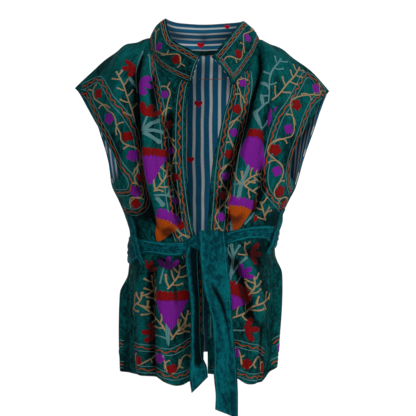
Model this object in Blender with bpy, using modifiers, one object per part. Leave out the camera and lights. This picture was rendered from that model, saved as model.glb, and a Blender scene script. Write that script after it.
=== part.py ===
"""Embroidered velvet waistcoat with a stand collar and a knotted sash belt.

It hangs filled out, as on a wearer: +X is the wearer's left, -Y the front, +Z up.  The origin is
midway between the two neck points, where the wearer's shoulders carry it.

Each panel is a sheet of cloth read by two numbers.  "share" runs across it from the armhole and
side seam (0) to the front edge or the centre back (1).  "station" runs down it from the shoulder
and neck (0) past the underarm (40) and the waist (60) to the hem (100).
"""

import bmesh
import bpy
import numpy as np

MM = 0.001

# Driving sizes, in millimetres.
VELVET = 1.8
LINING = 1.2
BELT_CLOTH = 2.4
SEAM_GAP = 0.3
NECK_TRIM = 3.5
UNDERARM_HEIGHT = -300.0
SEAM_CALM = 22.0
FOLD_FADE = 7.0
COLLAR_ROUNDING = 6.0
STATION_LENGTH = 6.2
BELT_SEAT = 2.5
LEFT_BELT_END = 0.8
KNOT_CLOTH = 3.6
LINING_GAP = 0.4
FRONT_FULLNESS = 0.4
BACK_FULLNESS = 0.52

# Stations.
UNDERARM = 40.0
HEM = 100.0
RULER_STATIONS = np.linspace(0, HEM, 81)
RULER_SHARES = np.linspace(0, 1, 61)


def table(columns, *rows):
    """The rows as one array per named column."""
    return dict(zip(columns.split(), np.array(rows, float).T))


# The line down each side of the body, through the shoulder tip, the underarm and the side seam:
# distance out from the middle, place fore and aft, and the headings on which the front and the
# back leave it (degrees seen from above, 0 outwards, 90 to the back).
RIGHT_SIDE = table(
    "station out fore front_heading back_heading",
    (0, 260, 0, -178, 178),
    (8, 248, -1, -140, 140),
    (15, 236, -2, -116, 116),
    (21, 224, -3, -106, 105),
    (30, 203, -4, -98, 97),
    (40, 182, -4, -95, 88),
    (44, 169, -12, -96, 84),
    (49, 155, -18, -100, 80),
    (55, 142, -28, -105, 75),
    (60, 138, -32, -110, 70),
    (72, 139, -40, -120, 60),
    (88, 136, -48, -128, 52),
    (100, 132, -50, -130, 50),
)
LEFT_SIDE = table(
    "station out fore front_heading back_heading",
    (0, 256, 0, -178, 178),
    (8, 247, -1, -140, 140),
    (15, 236, -2, -116, 116),
    (21, 225, -3, -106, 105),
    (30, 206, -4, -98, 97),
    (40, 186, -4, -95, 88),
    (44, 172, -12, -96, 84),
    (49, 156, -18, -100, 80),
    (55, 142, -28, -105, 75),
    (60, 137, -32, -110, 70),
    (72, 133, -40, -122, 58),
    (88, 123, -48, -130, 50),
    (100, 117, -50, -130, 50),
)

# The armholes: how much of each section they cut away.
RIGHT_ARMHOLE = table(
    "station front_cut back_cut",
    (0, 0, 0),
    (4, 0.03, 0.006),
    (10, 0.05, 0.02),
    (15, 0.08, 0.05),
    (21, 0.16, 0.11),
    (27, 0.24, 0.115),
    (32, 0.3, 0.115),
    (36, 0.305, 0.09),
    (38, 0.205, 0.05),
    (39.3, 0.09, 0.02),
    (40, 0, 0),
    (100, 0, 0),
)
LEFT_ARMHOLE = table(
    "station front_cut back_cut",
    (0, 0, 0),
    (4, 0.03, 0.004),
    (10, 0.06, 0.01),
    (15, 0.11, 0.014),
    (21, 0.2, 0.014),
    (27, 0.28, 0.014),
    (32, 0.295, 0.018),
    (36, 0.265, 0.02),
    (38, 0.16, 0.014),
    (39.3, 0.06, 0.008),
    (40, 0, 0),
    (100, 0, 0),
)

# The free front edges.  Below the knot the right one turns back into the opening.
RIGHT_EDGE = table(
    "station out fore heading",
    (0, 21, -85, 180),
    (6, 28, -88, 180),
    (17, 33, -92, 180),
    (32, 34, -98, 180),
    (44, 27, -98, 180),
    (53, 20, -94, 178),
    (60, 8, -84, 162),
    (67, 0, -68, 148),
    (80, -2, -62, 142),
    (100, 0, -62, 142),
)
LEFT_EDGE = table(
    "station out fore heading",
    (0, 56, -84, 180),
    (10, 51, -88, 180),
    (17, 41, -92, 180),
    (25, 31, -95, 180),
    (34, 19, -98, 180),
    (44, 13, -98, 180),
    (60, 9, -93, 180),
    (80, 10, -97, 180),
    (100, 10, -99, 180),
)
CENTRE_BACK = table(
    "station out fore heading",
    (0, 0, 62, 180),
    (10, 0, 78, 180),
    (25, 0, 92, 180),
    (42, 0, 94, 180),
    (60, 0, 82, 180),
    (80, 0, 89, 180),
    (100, 0, 93, 180),
)

# Each shoulder seam from the tip to the neck point, then the neckline down to the front corner.
RIGHT_SHOULDER = table(
    "out fore height", (260, 0, -98), (227, 0, -68), (190, 1, -36), (148, 4, -14), (108, 8, 3)
)
LEFT_SHOULDER = table(
    "out fore height", (256, 0, -104), (216, 0, -62), (179, 1, -37), (140, 4, -15), (116, 8, 0)
)
RIGHT_NECKLINE = table(
    "out fore height", (108, 8, 3), (105, -12, -21), (90, -38, -52), (62, -62, -74), (21, -85, -94)
)
LEFT_NECKLINE = table(
    "out fore height", (116, 8, 0), (102, -20, -30), (87, -42, -54), (74, -64, -75), (56, -84, -95)
)
RIGHT_BACK_NECK = table("out fore height", (108, 8, 3), (76, 42, -10), (40, 57, -15), (0, 62, -17))
LEFT_BACK_NECK = table("out fore height", (116, 8, 0), (80, 42, -10), (42, 57, -15), (0, 62, -17))

# The height of the hem across each panel.
RIGHT_FRONT_HEM = table("share height", (0, -673), (0.35, -678), (0.62, -692), (0.85, -680), (1, -660))
LEFT_FRONT_HEM = table("share height", (0, -688), (0.3, -690), (0.6, -674), (1, -667))
RIGHT_BACK_HEM = table("share height", (0, -673), (0.3, -668), (0.6, -650), (1, -640))
LEFT_BACK_HEM = table("share height", (0, -688), (0.25, -650), (0.6, -642), (1, -640))


# The largest folds.  Each runs from one station to another, at three distances from the inner edge
# (at its start, half way and at its end), with its own breadth on the edge side and the seam side.
FOLD_COLUMNS = "start end start_inset middle_inset end_inset edge_side seam_side rise"
RIGHT_FRONT_FOLDS = table(
    FOLD_COLUMNS,
    (1, 54, 124, 86, 54, 20, 10, 15),
    (1, 54, 148, 103, 70, 9, 26, -12),
    (-7, 42, 245, 166, 118, 18, 18, 7),
    (18, 54, 42, 30, 26, 8, 13, -9),
    (62, 120, 84, 92, 80, 30, 9, 13),
    (62, 120, 106, 117, 108, 8, 17, -13),
    (66, 120, 150, 148, 140, 16, 14, 6),
)
LEFT_FRONT_FOLDS = table(
    FOLD_COLUMNS,
    (1, 50.5, 148, 78, 38, 9, 25, 14),
    (1, 50.5, 126, 58, 20, 17, 9, -10),
    (-7, 44, 215, 150, 138, 24, 24, 6),
    (33, 51, 106, 97, 86, 9, 13, -7),
    (60, 84, 74, 94, 120, 9, 22, 11),
    (60, 84, 54, 74, 100, 16, 9, -8),
    (74, 120, 104, 96, 92, 16, 12, 8),
)
RIGHT_BACK_FOLDS = table(
    FOLD_COLUMNS,
    (8, 52.5, 190, 140, 118, 12, 22, 9),
    (14, 52.5, 92, 78, 62, 11, 18, 8),
    (14, 52.5, 110, 98, 84, 9, 14, -7),
    (66, 120, 60, 66, 80, 12, 20, 12),
    (66, 120, 96, 104, 118, 10, 20, -11),
    (66, 120, 150, 158, 168, 18, 14, 10),
    (68, 120, 200, 206, 210, 18, 12, 14),
)
LEFT_BACK_FOLDS = table(
    FOLD_COLUMNS,
    (6, 50, 176, 128, 100, 14, 22, 10),
    (18, 50, 70, 60, 50, 10, 16, 7),
    (18, 50, 86, 80, 72, 9, 14, -7),
    (63, 120, 52, 62, 72, 14, 20, 12),
    (63, 120, 92, 98, 108, 10, 18, -10),
    (62, 120, 136, 142, 150, 16, 14, 11),
    (62, 120, 196, 202, 206, 18, 12, 13),
)

# The free edge of the collar, from the wearer's right front end round the neck to the left one.
COLLAR_EDGE = table(
    "along across fore height",
    (0, -5, -98, -41),
    (0.1, -31, -82, -24),
    (0.19, -60, -58, -6),
    (0.25, -71, -25, 22),
    (0.3, -75, 5, 43),
    (0.39, -51, 40, 38),
    (0.515, 4, 54, 36),
    (0.64, 61, 40, 38),
    (0.72, 81, 8, 38),
    (0.79, 69, -25, 24),
    (0.88, 52, -58, 2),
    (1, 18, -98, -43),
)

# The belt's middle line and width where it crosses each panel, and how far it swells outwards.
BELT_COLUMNS = "share station width swell"
BELT_ON_RIGHT_FRONT = table(BELT_COLUMNS, (0, 60.5, 52, 5), (0.3, 58.6, 26, 2), (1, 59, 22, 1.5))
BELT_ON_LEFT_FRONT = table(BELT_COLUMNS, (0, 55.5, 42, 5), (0.3, 53.6, 24, 2), (1, 58, 22, 1.5))
BELT_ON_RIGHT_BACK = table(BELT_COLUMNS, (0, 60.5, 52, 5), (0.5, 60, 50, 3), (1, 59, 46, 2))
BELT_ON_LEFT_BACK = table(BELT_COLUMNS, (0, 55.5, 42, 5), (0.5, 57.5, 46, 3), (1, 59, 46, 2))

# The tails, edge by edge from the knot down.
LONG_TAIL = table(
    "left right fore left_height right_height",
    (-7, 43, -98.6, -424, -424),
    (-7, 43, -98.6, -394, -396),
    (-7, 43, -101.0, -387, -389),
    (-7, 43, -104.2, -389, -391),
    (-6, 45, -105.2, -408, -408),
    (-5, 47, -107.5, -431, -431),
    (2, 53, -112, -496, -496),
    (12, 56, -114, -533, -533),
    (21, 59, -116, -583, -583),
    (22, 66, -117, -663, -663),
    (26, 68, -116, -710, -712),
    (25, 68, -115, -736, -753),
)
SHORT_TAIL = table(
    "left right left_fore right_fore left_height right_height",
    (-29, -9, -100.5, -99.5, -413.4, -424.4),
    (-34, -9, -103, -99.5, -440, -440),
    (-30, -8, -106, -98, -482, -482),
    (-24, -7, -108, -92, -539, -539),
    (-24, -4, -109, -92, -627, -627),
    (-26, 7, -110, -98, -668, -655),
    (-22, 9, -110, -100, -704, -674),
)
KNOT = table(
    "across fore top bottom",
    (-30, -99.4, -404, -412),
    (-16, -99.2, -396, -420),
    (-8, -99.0, -398, -424),
    (8, -99.0, -399, -424),
    (26, -99.0, -399, -424),
    (43, -99.0, -402, -424),
)
RIGHT_LOOP = table(
    "station seam_share edge_share lift",
    (49, 0.05, 0.24, 2.6),
    (51, 0.07, 0.25, 3.2),
    (54, 0.1, 0.25, 8),
    (56, 0.12, 0.25, 11),
    (61, 0.16, 0.26, 11),
    (63, 0.17, 0.26, 5),
    (64.5, 0.18, 0.26, 2.6),
)
LEFT_LOOP = table(
    "station seam_share edge_share lift",
    (46.5, 0.03, 0.16, 2.6),
    (48, 0.05, 0.16, 3.4),
    (50, 0.06, 0.17, 9),
    (52, 0.07, 0.17, 11),
    (57, 0.08, 0.18, 11),
    (59, 0.08, 0.18, 5),
    (60.5, 0.08, 0.18, 2.6),
)


def smooth(at, knots, values):
    """A curve through the knots that never overshoots between them."""
    step = np.diff(knots)
    slope = np.diff(values) / step
    product = slope[1:] * slope[:-1]
    total = slope[1:] + slope[:-1]
    agree = product > 0
    inner = np.where(agree, 2 * product / np.where(agree, total, 1), 0)
    tangent = np.concatenate([slope[:1], inner, slope[-1:]])
    i = np.clip(np.searchsorted(knots, at, side="right") - 1, 0, len(step) - 1)
    t = (at - knots[i]) / step[i]
    rise = (3 - 2 * t) * t * t
    return (
        values[i] * (1 - rise)
        + values[i + 1] * rise
        + step[i] * t * (1 - t) * (tangent[i] * (1 - t) - tangent[i + 1] * t)
    )


def ease(amount):
    """0 to 1 with a soft start and a soft end."""
    amount = np.clip(amount, 0, 1)
    return amount * amount * (3 - 2 * amount)


def joined(first, second):
    """Two tables with the same columns, one after the other, sharing the row where they meet."""
    return {name: np.concatenate([first[name], second[name][1:]]) for name in first}


class HalfPanel:
    """A front, or half of the back, in its own distances out from the middle."""

    def __init__(self, sign, side, armhole, face, inner, shoulder, neck, hem, folds, fullness):
        self.sign = sign
        self.outer = dict(side, heading=side[face + "_heading"])
        self.armhole = dict(armhole, cut=armhole[face + "_cut"])
        self.inner = inner
        self.top = joined(shoulder, neck)
        self.hem = hem
        self.folds = folds
        self.fullness = fullness
        steps = [np.diff(self.top[name]) for name in ("out", "fore", "height")]
        lengths = np.sqrt(sum(step * step for step in steps))
        self.top["share"] = np.concatenate([[0], np.cumsum(lengths)]) / lengths.sum()
        self.neck_share = self.top["share"][len(shoulder["out"]) - 1]
        self.ruler = self.measure()

    def measure(self):
        """Distances along each section from the inner edge, on an even grid of shares and stations."""
        station, share = np.meshgrid(RULER_STATIONS, RULER_SHARES, indexing="ij")
        points = self.base(share.ravel(), station.ravel()).reshape(*share.shape, 3)
        steps = np.linalg.norm(np.diff(points, axis=1), axis=2)
        from_edge = np.cumsum(steps[:, ::-1], axis=1)[:, ::-1]
        return np.concatenate([from_edge, np.zeros((len(from_edge), 1))], axis=1)

    def inset(self, share, station):
        """How far a place lies from the inner edge, measured along the unfolded cloth."""
        row = np.clip(station, 0, HEM) / HEM * (len(RULER_STATIONS) - 1)
        column = np.clip(share, 0, 1) * (len(RULER_SHARES) - 1)
        i = np.minimum(row.astype(int), len(RULER_STATIONS) - 2)
        j = np.minimum(column.astype(int), len(RULER_SHARES) - 2)
        down, over = row - i, column - j
        upper = self.ruler[i, j] * (1 - over) + self.ruler[i, j + 1] * over
        lower = self.ruler[i + 1, j] * (1 - over) + self.ruler[i + 1, j + 1] * over
        return upper * (1 - down) + lower * down

    def across(self, share, station):
        """The section at a station, seen from above: one curve from the outer line to the inner."""
        ends = []
        for line in (self.outer, self.inner):
            ends.append([smooth(station, line["station"], line[name]) for name in ("out", "fore")])
        start, end = np.array(ends)
        turn = [
            np.radians(smooth(station, line["station"], line["heading"]))
            for line in (self.outer, self.inner)
        ]
        reach = self.fullness * np.hypot(*(end - start))
        leave = start + reach * np.array([np.cos(turn[0]), np.sin(turn[0])])
        arrive = end - reach * np.array([np.cos(turn[1]), np.sin(turn[1])])
        cut = smooth(station, self.armhole["station"], self.armhole["cut"])
        reached = share + cut * (1 - share) ** 2
        left = 1 - reached
        return (
            left**3 * start
            + 3 * left**2 * reached * leave
            + 3 * left * reached**2 * arrive
            + reached**3 * end
        )

    def top_line(self, share):
        return [smooth(share, self.top["share"], self.top[name]) for name in ("out", "fore", "height")]

    def base(self, share, station):
        """The unfolded cloth, domed over the shoulder and hanging from the chest."""
        above = np.clip(station / UNDERARM, 0, 1)
        falls = above**1.4
        out, fore = self.across(share, station)
        top_out, top_fore, top_height = self.top_line(share)
        start_out, start_fore = self.across(share, np.zeros_like(station))
        held = (1 - above) ** 2
        out = out + held * (top_out - start_out)
        fore = fore + held * (top_fore - start_fore)
        hem = smooth(share, self.hem["share"], self.hem["height"])
        hangs = np.clip((station - UNDERARM) / (HEM - UNDERARM), 0, None)
        height = top_height * (1 - falls) + UNDERARM_HEIGHT * falls + (hem - UNDERARM_HEIGHT) * hangs
        return np.stack([self.sign * out, fore, height], axis=-1)

    def fold_height(self, share, station):
        """How far the folds carry the cloth in or out, calm along the seam and the centre back."""
        inset = self.inset(share, station)
        whole = self.inset(np.zeros_like(share), station)
        height = np.zeros_like(inset)
        for start, end, first, middle, last, edge_side, seam_side, rise in zip(*self.folds.values()):
            along = np.clip((station - start) / (end - start), 0, 1)
            bow = 2 * middle - (first + last) / 2
            path = (1 - along) ** 2 * first + 2 * along * (1 - along) * bow + along**2 * last
            across = inset - path
            breadth = np.where(across < 0, edge_side, seam_side)
            ends = ease((station - start) / FOLD_FADE) * ease((end - station) / FOLD_FADE)
            height += rise * np.exp(-((across / breadth) ** 2)) * ends
        height *= ease((whole - inset) / SEAM_CALM)
        if self.inner is CENTRE_BACK:
            height *= ease(inset / SEAM_CALM)
        return height

    def outward(self, share, station):
        """The unfolded cloth's normal, away from the wearer."""
        left, right = np.clip(share - 0.01, 0, 1), np.clip(share + 0.01, 0, 1)
        upper, lower = np.clip(station - 1, 0, HEM), np.clip(station + 1, 0, HEM)
        along_row = self.base(right, station) - self.base(left, station)
        down = self.base(share, lower) - self.base(share, upper)
        normal = np.cross(down, along_row) * self.sign * (-1 if self.inner is not CENTRE_BACK else 1)
        return normal / np.linalg.norm(normal, axis=-1, keepdims=True)

    def point(self, share, station, lift=0.0):
        """The folded cloth's inner face, or a place lifted off it."""
        share, station = np.broadcast_arrays(np.asarray(share, float), np.asarray(station, float))
        away = np.asarray(self.fold_height(share, station) + lift)
        return self.base(share, station) + self.outward(share, station) * away[..., None]


RIGHT_FRONT = HalfPanel(
    -1,
    RIGHT_SIDE,
    RIGHT_ARMHOLE,
    "front",
    RIGHT_EDGE,
    RIGHT_SHOULDER,
    RIGHT_NECKLINE,
    RIGHT_FRONT_HEM,
    RIGHT_FRONT_FOLDS,
    FRONT_FULLNESS,
)
LEFT_FRONT = HalfPanel(
    1,
    LEFT_SIDE,
    LEFT_ARMHOLE,
    "front",
    LEFT_EDGE,
    LEFT_SHOULDER,
    LEFT_NECKLINE,
    LEFT_FRONT_HEM,
    LEFT_FRONT_FOLDS,
    FRONT_FULLNESS,
)
RIGHT_BACK = HalfPanel(
    -1,
    RIGHT_SIDE,
    RIGHT_ARMHOLE,
    "back",
    CENTRE_BACK,
    RIGHT_SHOULDER,
    RIGHT_BACK_NECK,
    RIGHT_BACK_HEM,
    RIGHT_BACK_FOLDS,
    BACK_FULLNESS,
)
LEFT_BACK = HalfPanel(
    1,
    LEFT_SIDE,
    LEFT_ARMHOLE,
    "back",
    CENTRE_BACK,
    LEFT_SHOULDER,
    LEFT_BACK_NECK,
    LEFT_BACK_HEM,
    LEFT_BACK_FOLDS,
    BACK_FULLNESS,
)


# ---- solids ----
# Rows and columns of each sheet.  The back has one row more, where its lining starts.
PANEL_STATIONS = np.concatenate([np.linspace(0, 36, 10), [38, 39.4], np.linspace(UNDERARM, HEM, 14)])
LINING_START = 3.2
BACK_STATIONS = np.insert(PANEL_STATIONS, 1, LINING_START)
FRONT_SHARES = np.concatenate([[0, 0.03], np.linspace(0.07, 1, 21)])
BACK_SHARES = np.concatenate([[0, 0.02], np.linspace(0.06, 1, 16)])
COLLAR_STEPS = np.linspace(0, 1, 33)
COLLAR_RISE = np.linspace(0, 1, 5)
BELT_RISE = np.linspace(0.5, -0.5, 5)
LOOP_ACROSS = np.linspace(0, 1, 4)

COLOURS = {
    "velvet": ((0.0, 0.10, 0.08, 1.0), 0.85),
    "belt_velvet": ((0.0, 0.12, 0.12, 1.0), 0.85),
    "lining": ((0.0, 0.11, 0.20, 1.0), 0.9),
}


def drawn_back(edge, neighbour, distance):
    """An edge moved square to itself, towards the row beside it."""
    along = np.gradient(edge, axis=0)
    along /= np.linalg.norm(along, axis=-1, keepdims=True)
    way = neighbour - edge
    way -= along * np.sum(way * along, axis=-1, keepdims=True)
    way /= np.linalg.norm(way, axis=-1, keepdims=True)
    return edge + way * np.broadcast_to(distance, len(edge))[:, None]


def trimmed(points, top=0.0, left=0.0, right=0.0):
    """A panel's points, with its top and its two side edges drawn back from the seam lines."""
    points = points.copy()
    points[:, 0] = drawn_back(points[:, 0], points[:, 1], left)
    points[:, -1] = drawn_back(points[:, -1], points[:, -2], right)
    points[0] = drawn_back(points[0], points[1], top)
    return points


def sheet_normals(points):
    """Normals of a grid of points, rows running down and columns to the viewer's right outside."""
    across = np.gradient(points, axis=1)
    down = np.gradient(points, axis=0)
    normals = np.cross(down, across)
    return normals / np.linalg.norm(normals, axis=-1, keepdims=True)


def panel_points(panel, shares, stations=PANEL_STATIONS):
    """A panel's grid, rows running down it and columns from the side seam inwards."""
    station, share = np.meshgrid(stations, shares, indexing="ij")
    return panel.point(share, station)


def make_material(name):
    colour, roughness = COLOURS[name]
    material = bpy.data.materials.new(name)
    material.use_nodes = True
    shader = material.node_tree.nodes["Principled BSDF"]
    shader.inputs["Base Color"].default_value = colour
    shader.inputs["Roughness"].default_value = roughness
    shader.inputs["Metallic"].default_value = 0.0
    return material


def make_sheet(name, points, wall, material, collection, behind=None):
    """Cloth with its wall outside a grid of points in millimetres, or a gap behind that grid."""
    rows, columns = points.shape[:2]
    form = bmesh.new()
    bmesh.ops.create_grid(form, x_segments=columns - 1, y_segments=rows - 1, size=1)
    for vertex, place in zip(form.verts, points[::-1].reshape(-1, 3)):
        vertex.co = place * MM
    bmesh.ops.triangulate(form, faces=form.faces[:], quad_method="FIXED")
    mesh = bpy.data.meshes.new(name)
    form.to_mesh(mesh)
    form.free()
    mesh.shade_smooth()
    mesh.materials.append(material)
    sheet = bpy.data.objects.new(name, mesh)
    collection.objects.link(sheet)
    solid = sheet.modifiers.new("wall", "SOLIDIFY")
    solid.thickness = wall * MM
    solid.offset = 1.0 if behind is None else -1.0 - 2 * behind / wall
    return sheet


def front_points(panel):
    """A front seen from outside, its columns running to the viewer's right."""
    points = panel_points(panel, FRONT_SHARES)
    top = np.where(FRONT_SHARES < panel.neck_share, SEAM_GAP / 2, NECK_TRIM)
    points = trimmed(points, top=top, left=SEAM_GAP / 2)
    return points if panel.sign < 0 else points[:, ::-1]


def back_points():
    """The whole back seen from outside, from the wearer's left side to the right."""
    halves = [panel_points(panel, BACK_SHARES, BACK_STATIONS) for panel in (LEFT_BACK, RIGHT_BACK)]
    points = np.concatenate([halves[0], halves[1][:, -2::-1]], axis=1)
    shares = np.concatenate([BACK_SHARES, BACK_SHARES[-2::-1]])
    on_left = np.arange(len(shares)) < len(BACK_SHARES)
    neck = np.where(on_left, LEFT_BACK.neck_share, RIGHT_BACK.neck_share)
    top = np.where(shares < neck, SEAM_GAP / 2, NECK_TRIM)
    return trimmed(points, top=top, left=SEAM_GAP / 2, right=SEAM_GAP / 2)


def neck_seam(along):
    """The neckline from the wearer's right front corner round the back to the left one."""
    parts = []
    for panel in (RIGHT_FRONT, RIGHT_BACK, LEFT_BACK, LEFT_FRONT):
        share = np.linspace(panel.neck_share, 1, 25)
        if panel in (RIGHT_FRONT, LEFT_BACK):
            share = share[::-1]
        out, fore, height = panel.top_line(share)
        parts.append(np.stack([panel.sign * out, fore, height], axis=-1))
    line = np.concatenate([parts[0]] + [part[1:] for part in parts[1:]])
    lengths = np.linalg.norm(np.diff(line, axis=0), axis=1)
    place = np.concatenate([[0], np.cumsum(lengths)]) / lengths.sum()
    return np.stack([np.interp(along, place, line[:, axis]) for axis in range(3)], axis=-1)


def collar_points():
    """The standing collar seen from outside: rows from its free edge down to the neck seam."""
    seam = neck_seam(COLLAR_STEPS)
    places = [COLLAR_EDGE[name] for name in ("across", "fore", "height")]
    edge = np.stack([smooth(COLLAR_STEPS, COLLAR_EDGE["along"], place) for place in places], axis=-1)
    up = COLLAR_RISE[::-1, None, None]
    flat = seam * (1 - up) + edge * up
    normals = sheet_normals(flat[:, ::-1])[:, ::-1]
    return (flat + normals * COLLAR_ROUNDING * 4 * up * (1 - up))[:, ::-1]


def belt_points(panel, line, shares):
    """A stretch of belt on a panel, made from the panel's own points moved out."""
    rise, share = np.meshgrid(BELT_RISE, shares, indexing="ij")
    middle = smooth(share, line["share"], line["station"])
    width = smooth(share, line["share"], line["width"])
    swell = smooth(share, line["share"], line["swell"])
    lift = BELT_SEAT + swell * (1 - 4 * rise * rise)
    return panel.point(share, middle - rise * width / STATION_LENGTH, lift)


def belt_round_back():
    """The belt from the wearer's left side round the back to the right side."""
    left = belt_points(LEFT_BACK, BELT_ON_LEFT_BACK, BACK_SHARES)
    right = belt_points(RIGHT_BACK, BELT_ON_RIGHT_BACK, BACK_SHARES)
    return trimmed(np.concatenate([left, right[:, -2::-1]], axis=1), left=SEAM_GAP / 2, right=SEAM_GAP / 2)


def loop_points(panel, rows):
    """A belt loop: a strap sewn to the front above the belt, over it and down again."""
    across = LOOP_ACROSS[None, :]
    share = rows["seam_share"][:, None] * (1 - across) + rows["edge_share"][:, None] * across
    return panel.point(share, rows["station"][:, None], rows["lift"][:, None])


def strip_points(left, right):
    """A strip between two edges, with a middle column so that it can crease."""
    return np.stack([left, (left + right) / 2, right], axis=1)


def long_tail_points():
    rows = LONG_TAIL
    left = np.stack([rows["left"], rows["fore"], rows["left_height"]], axis=-1)
    right = np.stack([rows["right"], rows["fore"], rows["right_height"]], axis=-1)
    return strip_points(left, right)


def short_tail_points():
    rows = SHORT_TAIL
    left = np.stack([rows["left"], rows["left_fore"], rows["left_height"]], axis=-1)
    right = np.stack([rows["right"], rows["right_fore"], rows["right_height"]], axis=-1)
    return strip_points(left, right)


def knot_points():
    rows = KNOT
    top = np.stack([rows["across"], rows["fore"], rows["top"]], axis=-1)
    bottom = np.stack([rows["across"], rows["fore"], rows["bottom"]], axis=-1)
    return np.stack([top, bottom], axis=0)


def clear_scene():
    for thing in list(bpy.data.objects):
        bpy.data.objects.remove(thing, do_unlink=True)


def build():
    clear_scene()
    waistcoat = bpy.data.collections.new("embroidered_waistcoat")
    bpy.context.scene.collection.children.link(waistcoat)
    velvet, belt_velvet, lining = [make_material(name) for name in ("velvet", "belt_velvet", "lining")]

    back = back_points()
    make_sheet("right_front", front_points(RIGHT_FRONT), VELVET, velvet, waistcoat)
    make_sheet("left_front", front_points(LEFT_FRONT), VELVET, velvet, waistcoat)
    make_sheet("back", back, VELVET, velvet, waistcoat)
    make_sheet("back_lining", back[1:], LINING, lining, waistcoat, behind=LINING_GAP)

    collar = collar_points()
    make_sheet("collar", collar, VELVET, velvet, waistcoat)
    make_sheet("collar_lining", collar, LINING, lining, waistcoat, behind=LINING_GAP)

    make_sheet("belt_back", belt_round_back(), BELT_CLOTH, belt_velvet, waistcoat)
    right = belt_points(RIGHT_FRONT, BELT_ON_RIGHT_FRONT, FRONT_SHARES)
    right = trimmed(right, left=SEAM_GAP / 2)
    make_sheet("belt_right_front", right, BELT_CLOTH, belt_velvet, waistcoat)
    left = belt_points(LEFT_FRONT, BELT_ON_LEFT_FRONT, FRONT_SHARES[FRONT_SHARES < LEFT_BELT_END])
    left = trimmed(left, left=SEAM_GAP / 2)
    make_sheet("belt_left_front", left[:, ::-1], BELT_CLOTH, belt_velvet, waistcoat)
    make_sheet("belt_knot", knot_points(), KNOT_CLOTH, belt_velvet, waistcoat)
    make_sheet("belt_long_tail", long_tail_points(), BELT_CLOTH, belt_velvet, waistcoat)
    make_sheet("belt_short_tail", short_tail_points(), BELT_CLOTH, belt_velvet, waistcoat)
    right = loop_points(RIGHT_FRONT, RIGHT_LOOP)
    make_sheet("belt_loop_right", right, VELVET, belt_velvet, waistcoat)
    left = loop_points(LEFT_FRONT, LEFT_LOOP)
    make_sheet("belt_loop_left", left[:, ::-1], VELVET, belt_velvet, waistcoat)


build()
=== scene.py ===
"""Embroidered velvet waistcoat with a stand collar, a striped lining and a knotted sash belt.

Every cloth is worked out from the same sections, folds and seams as its solid, on a finer grid
and with the smaller creases added.  The embroidery is drawn on the flat cut, in millimetres from
the front edge and stations down the cloth, and laid on the cloth with a small lift.
"""

import bpy
import numpy as np
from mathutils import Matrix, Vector


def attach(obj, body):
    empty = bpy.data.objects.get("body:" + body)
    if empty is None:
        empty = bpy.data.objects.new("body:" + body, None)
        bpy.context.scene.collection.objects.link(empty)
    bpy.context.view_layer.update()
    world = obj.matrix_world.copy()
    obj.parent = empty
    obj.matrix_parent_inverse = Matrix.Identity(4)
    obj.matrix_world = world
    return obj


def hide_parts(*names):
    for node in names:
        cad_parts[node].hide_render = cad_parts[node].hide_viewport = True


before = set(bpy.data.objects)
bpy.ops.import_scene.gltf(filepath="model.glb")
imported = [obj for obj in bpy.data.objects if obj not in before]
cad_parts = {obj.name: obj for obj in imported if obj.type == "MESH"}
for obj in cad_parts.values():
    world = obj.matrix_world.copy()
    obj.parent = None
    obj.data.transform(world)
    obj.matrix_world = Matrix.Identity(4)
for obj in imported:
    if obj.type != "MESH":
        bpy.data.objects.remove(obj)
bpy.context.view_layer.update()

MM = 0.001

# Driving sizes, in millimetres.
VELVET = 1.8
LINING = 1.2
BELT_CLOTH = 2.4
KNOT_CLOTH = 3.6
SEAM_GAP = 0.3
NECK_TURN = 1.0
LINING_GAP = 0.4
UNDERARM_HEIGHT = -300.0
SEAM_CALM = 22.0
FOLD_FADE = 7.0
COLLAR_ROUNDING = 6.0
COLLAR_LENGTH, COLLAR_HEIGHT = 470.0, 64.0
STATION_LENGTH = 6.2
BELT_SEAT = 2.5
EDGE_MARGIN = 3.2

# Shares: of a section's width, of the wall that an edge bulges by, and of the way down the lining to where
# its painted shade begins.
LEFT_BELT_END = 0.8
FRONT_FULLNESS = 0.4
BACK_FULLNESS = 0.52
EDGE_BULGE = 0.42
LINING_WAIST = 0.58

# Stations, and the ruler laid along each section.
UNDERARM = 40.0
HEM = 100.0
RULER_STATIONS = np.linspace(0, HEM, 81)
RULER_SHARES = np.linspace(0, 1, 61)
INSET_SHARES = np.linspace(0, 1, 241)

# How finely the cloths are cut into faces.
FRONT_ROWS, FRONT_COLUMNS = 170, 120
BACK_ROWS, BACK_COLUMNS = 150, 90
UNDERARM_STATIONS = (36, 37, 38, 38.8, 39.4, 39.8, 40)
TURNED_IN_ROWS = 3
LINING_FIRST_ROW = 5
COLLAR_COLUMNS, COLLAR_ROWS = 161, 19
BELT_COLUMNS, BELT_ROWS = 70, 17
KNOT_COLUMNS, KNOT_ROWS = 61, 15
LONG_TAIL_ROWS, LONG_TAIL_COLUMNS = 190, 41
SHORT_TAIL_ROWS, SHORT_TAIL_COLUMNS = 120, 29
LOOP_ROWS, LOOP_COLUMNS = 70, 13

# A place is in a hollow or on a ridge by its height over the cloth so many grid steps round it; hollows get
# painted shade and ridges a painted highlight.
NEAR_REACH, FAR_REACH = 6, 15
NEAR_HEIGHT, FAR_HEIGHT = 7.0, 11.0


def table(columns, *rows):
    """The rows as one array per named column."""
    return dict(zip(columns.split(), np.array(rows, float).T))


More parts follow.
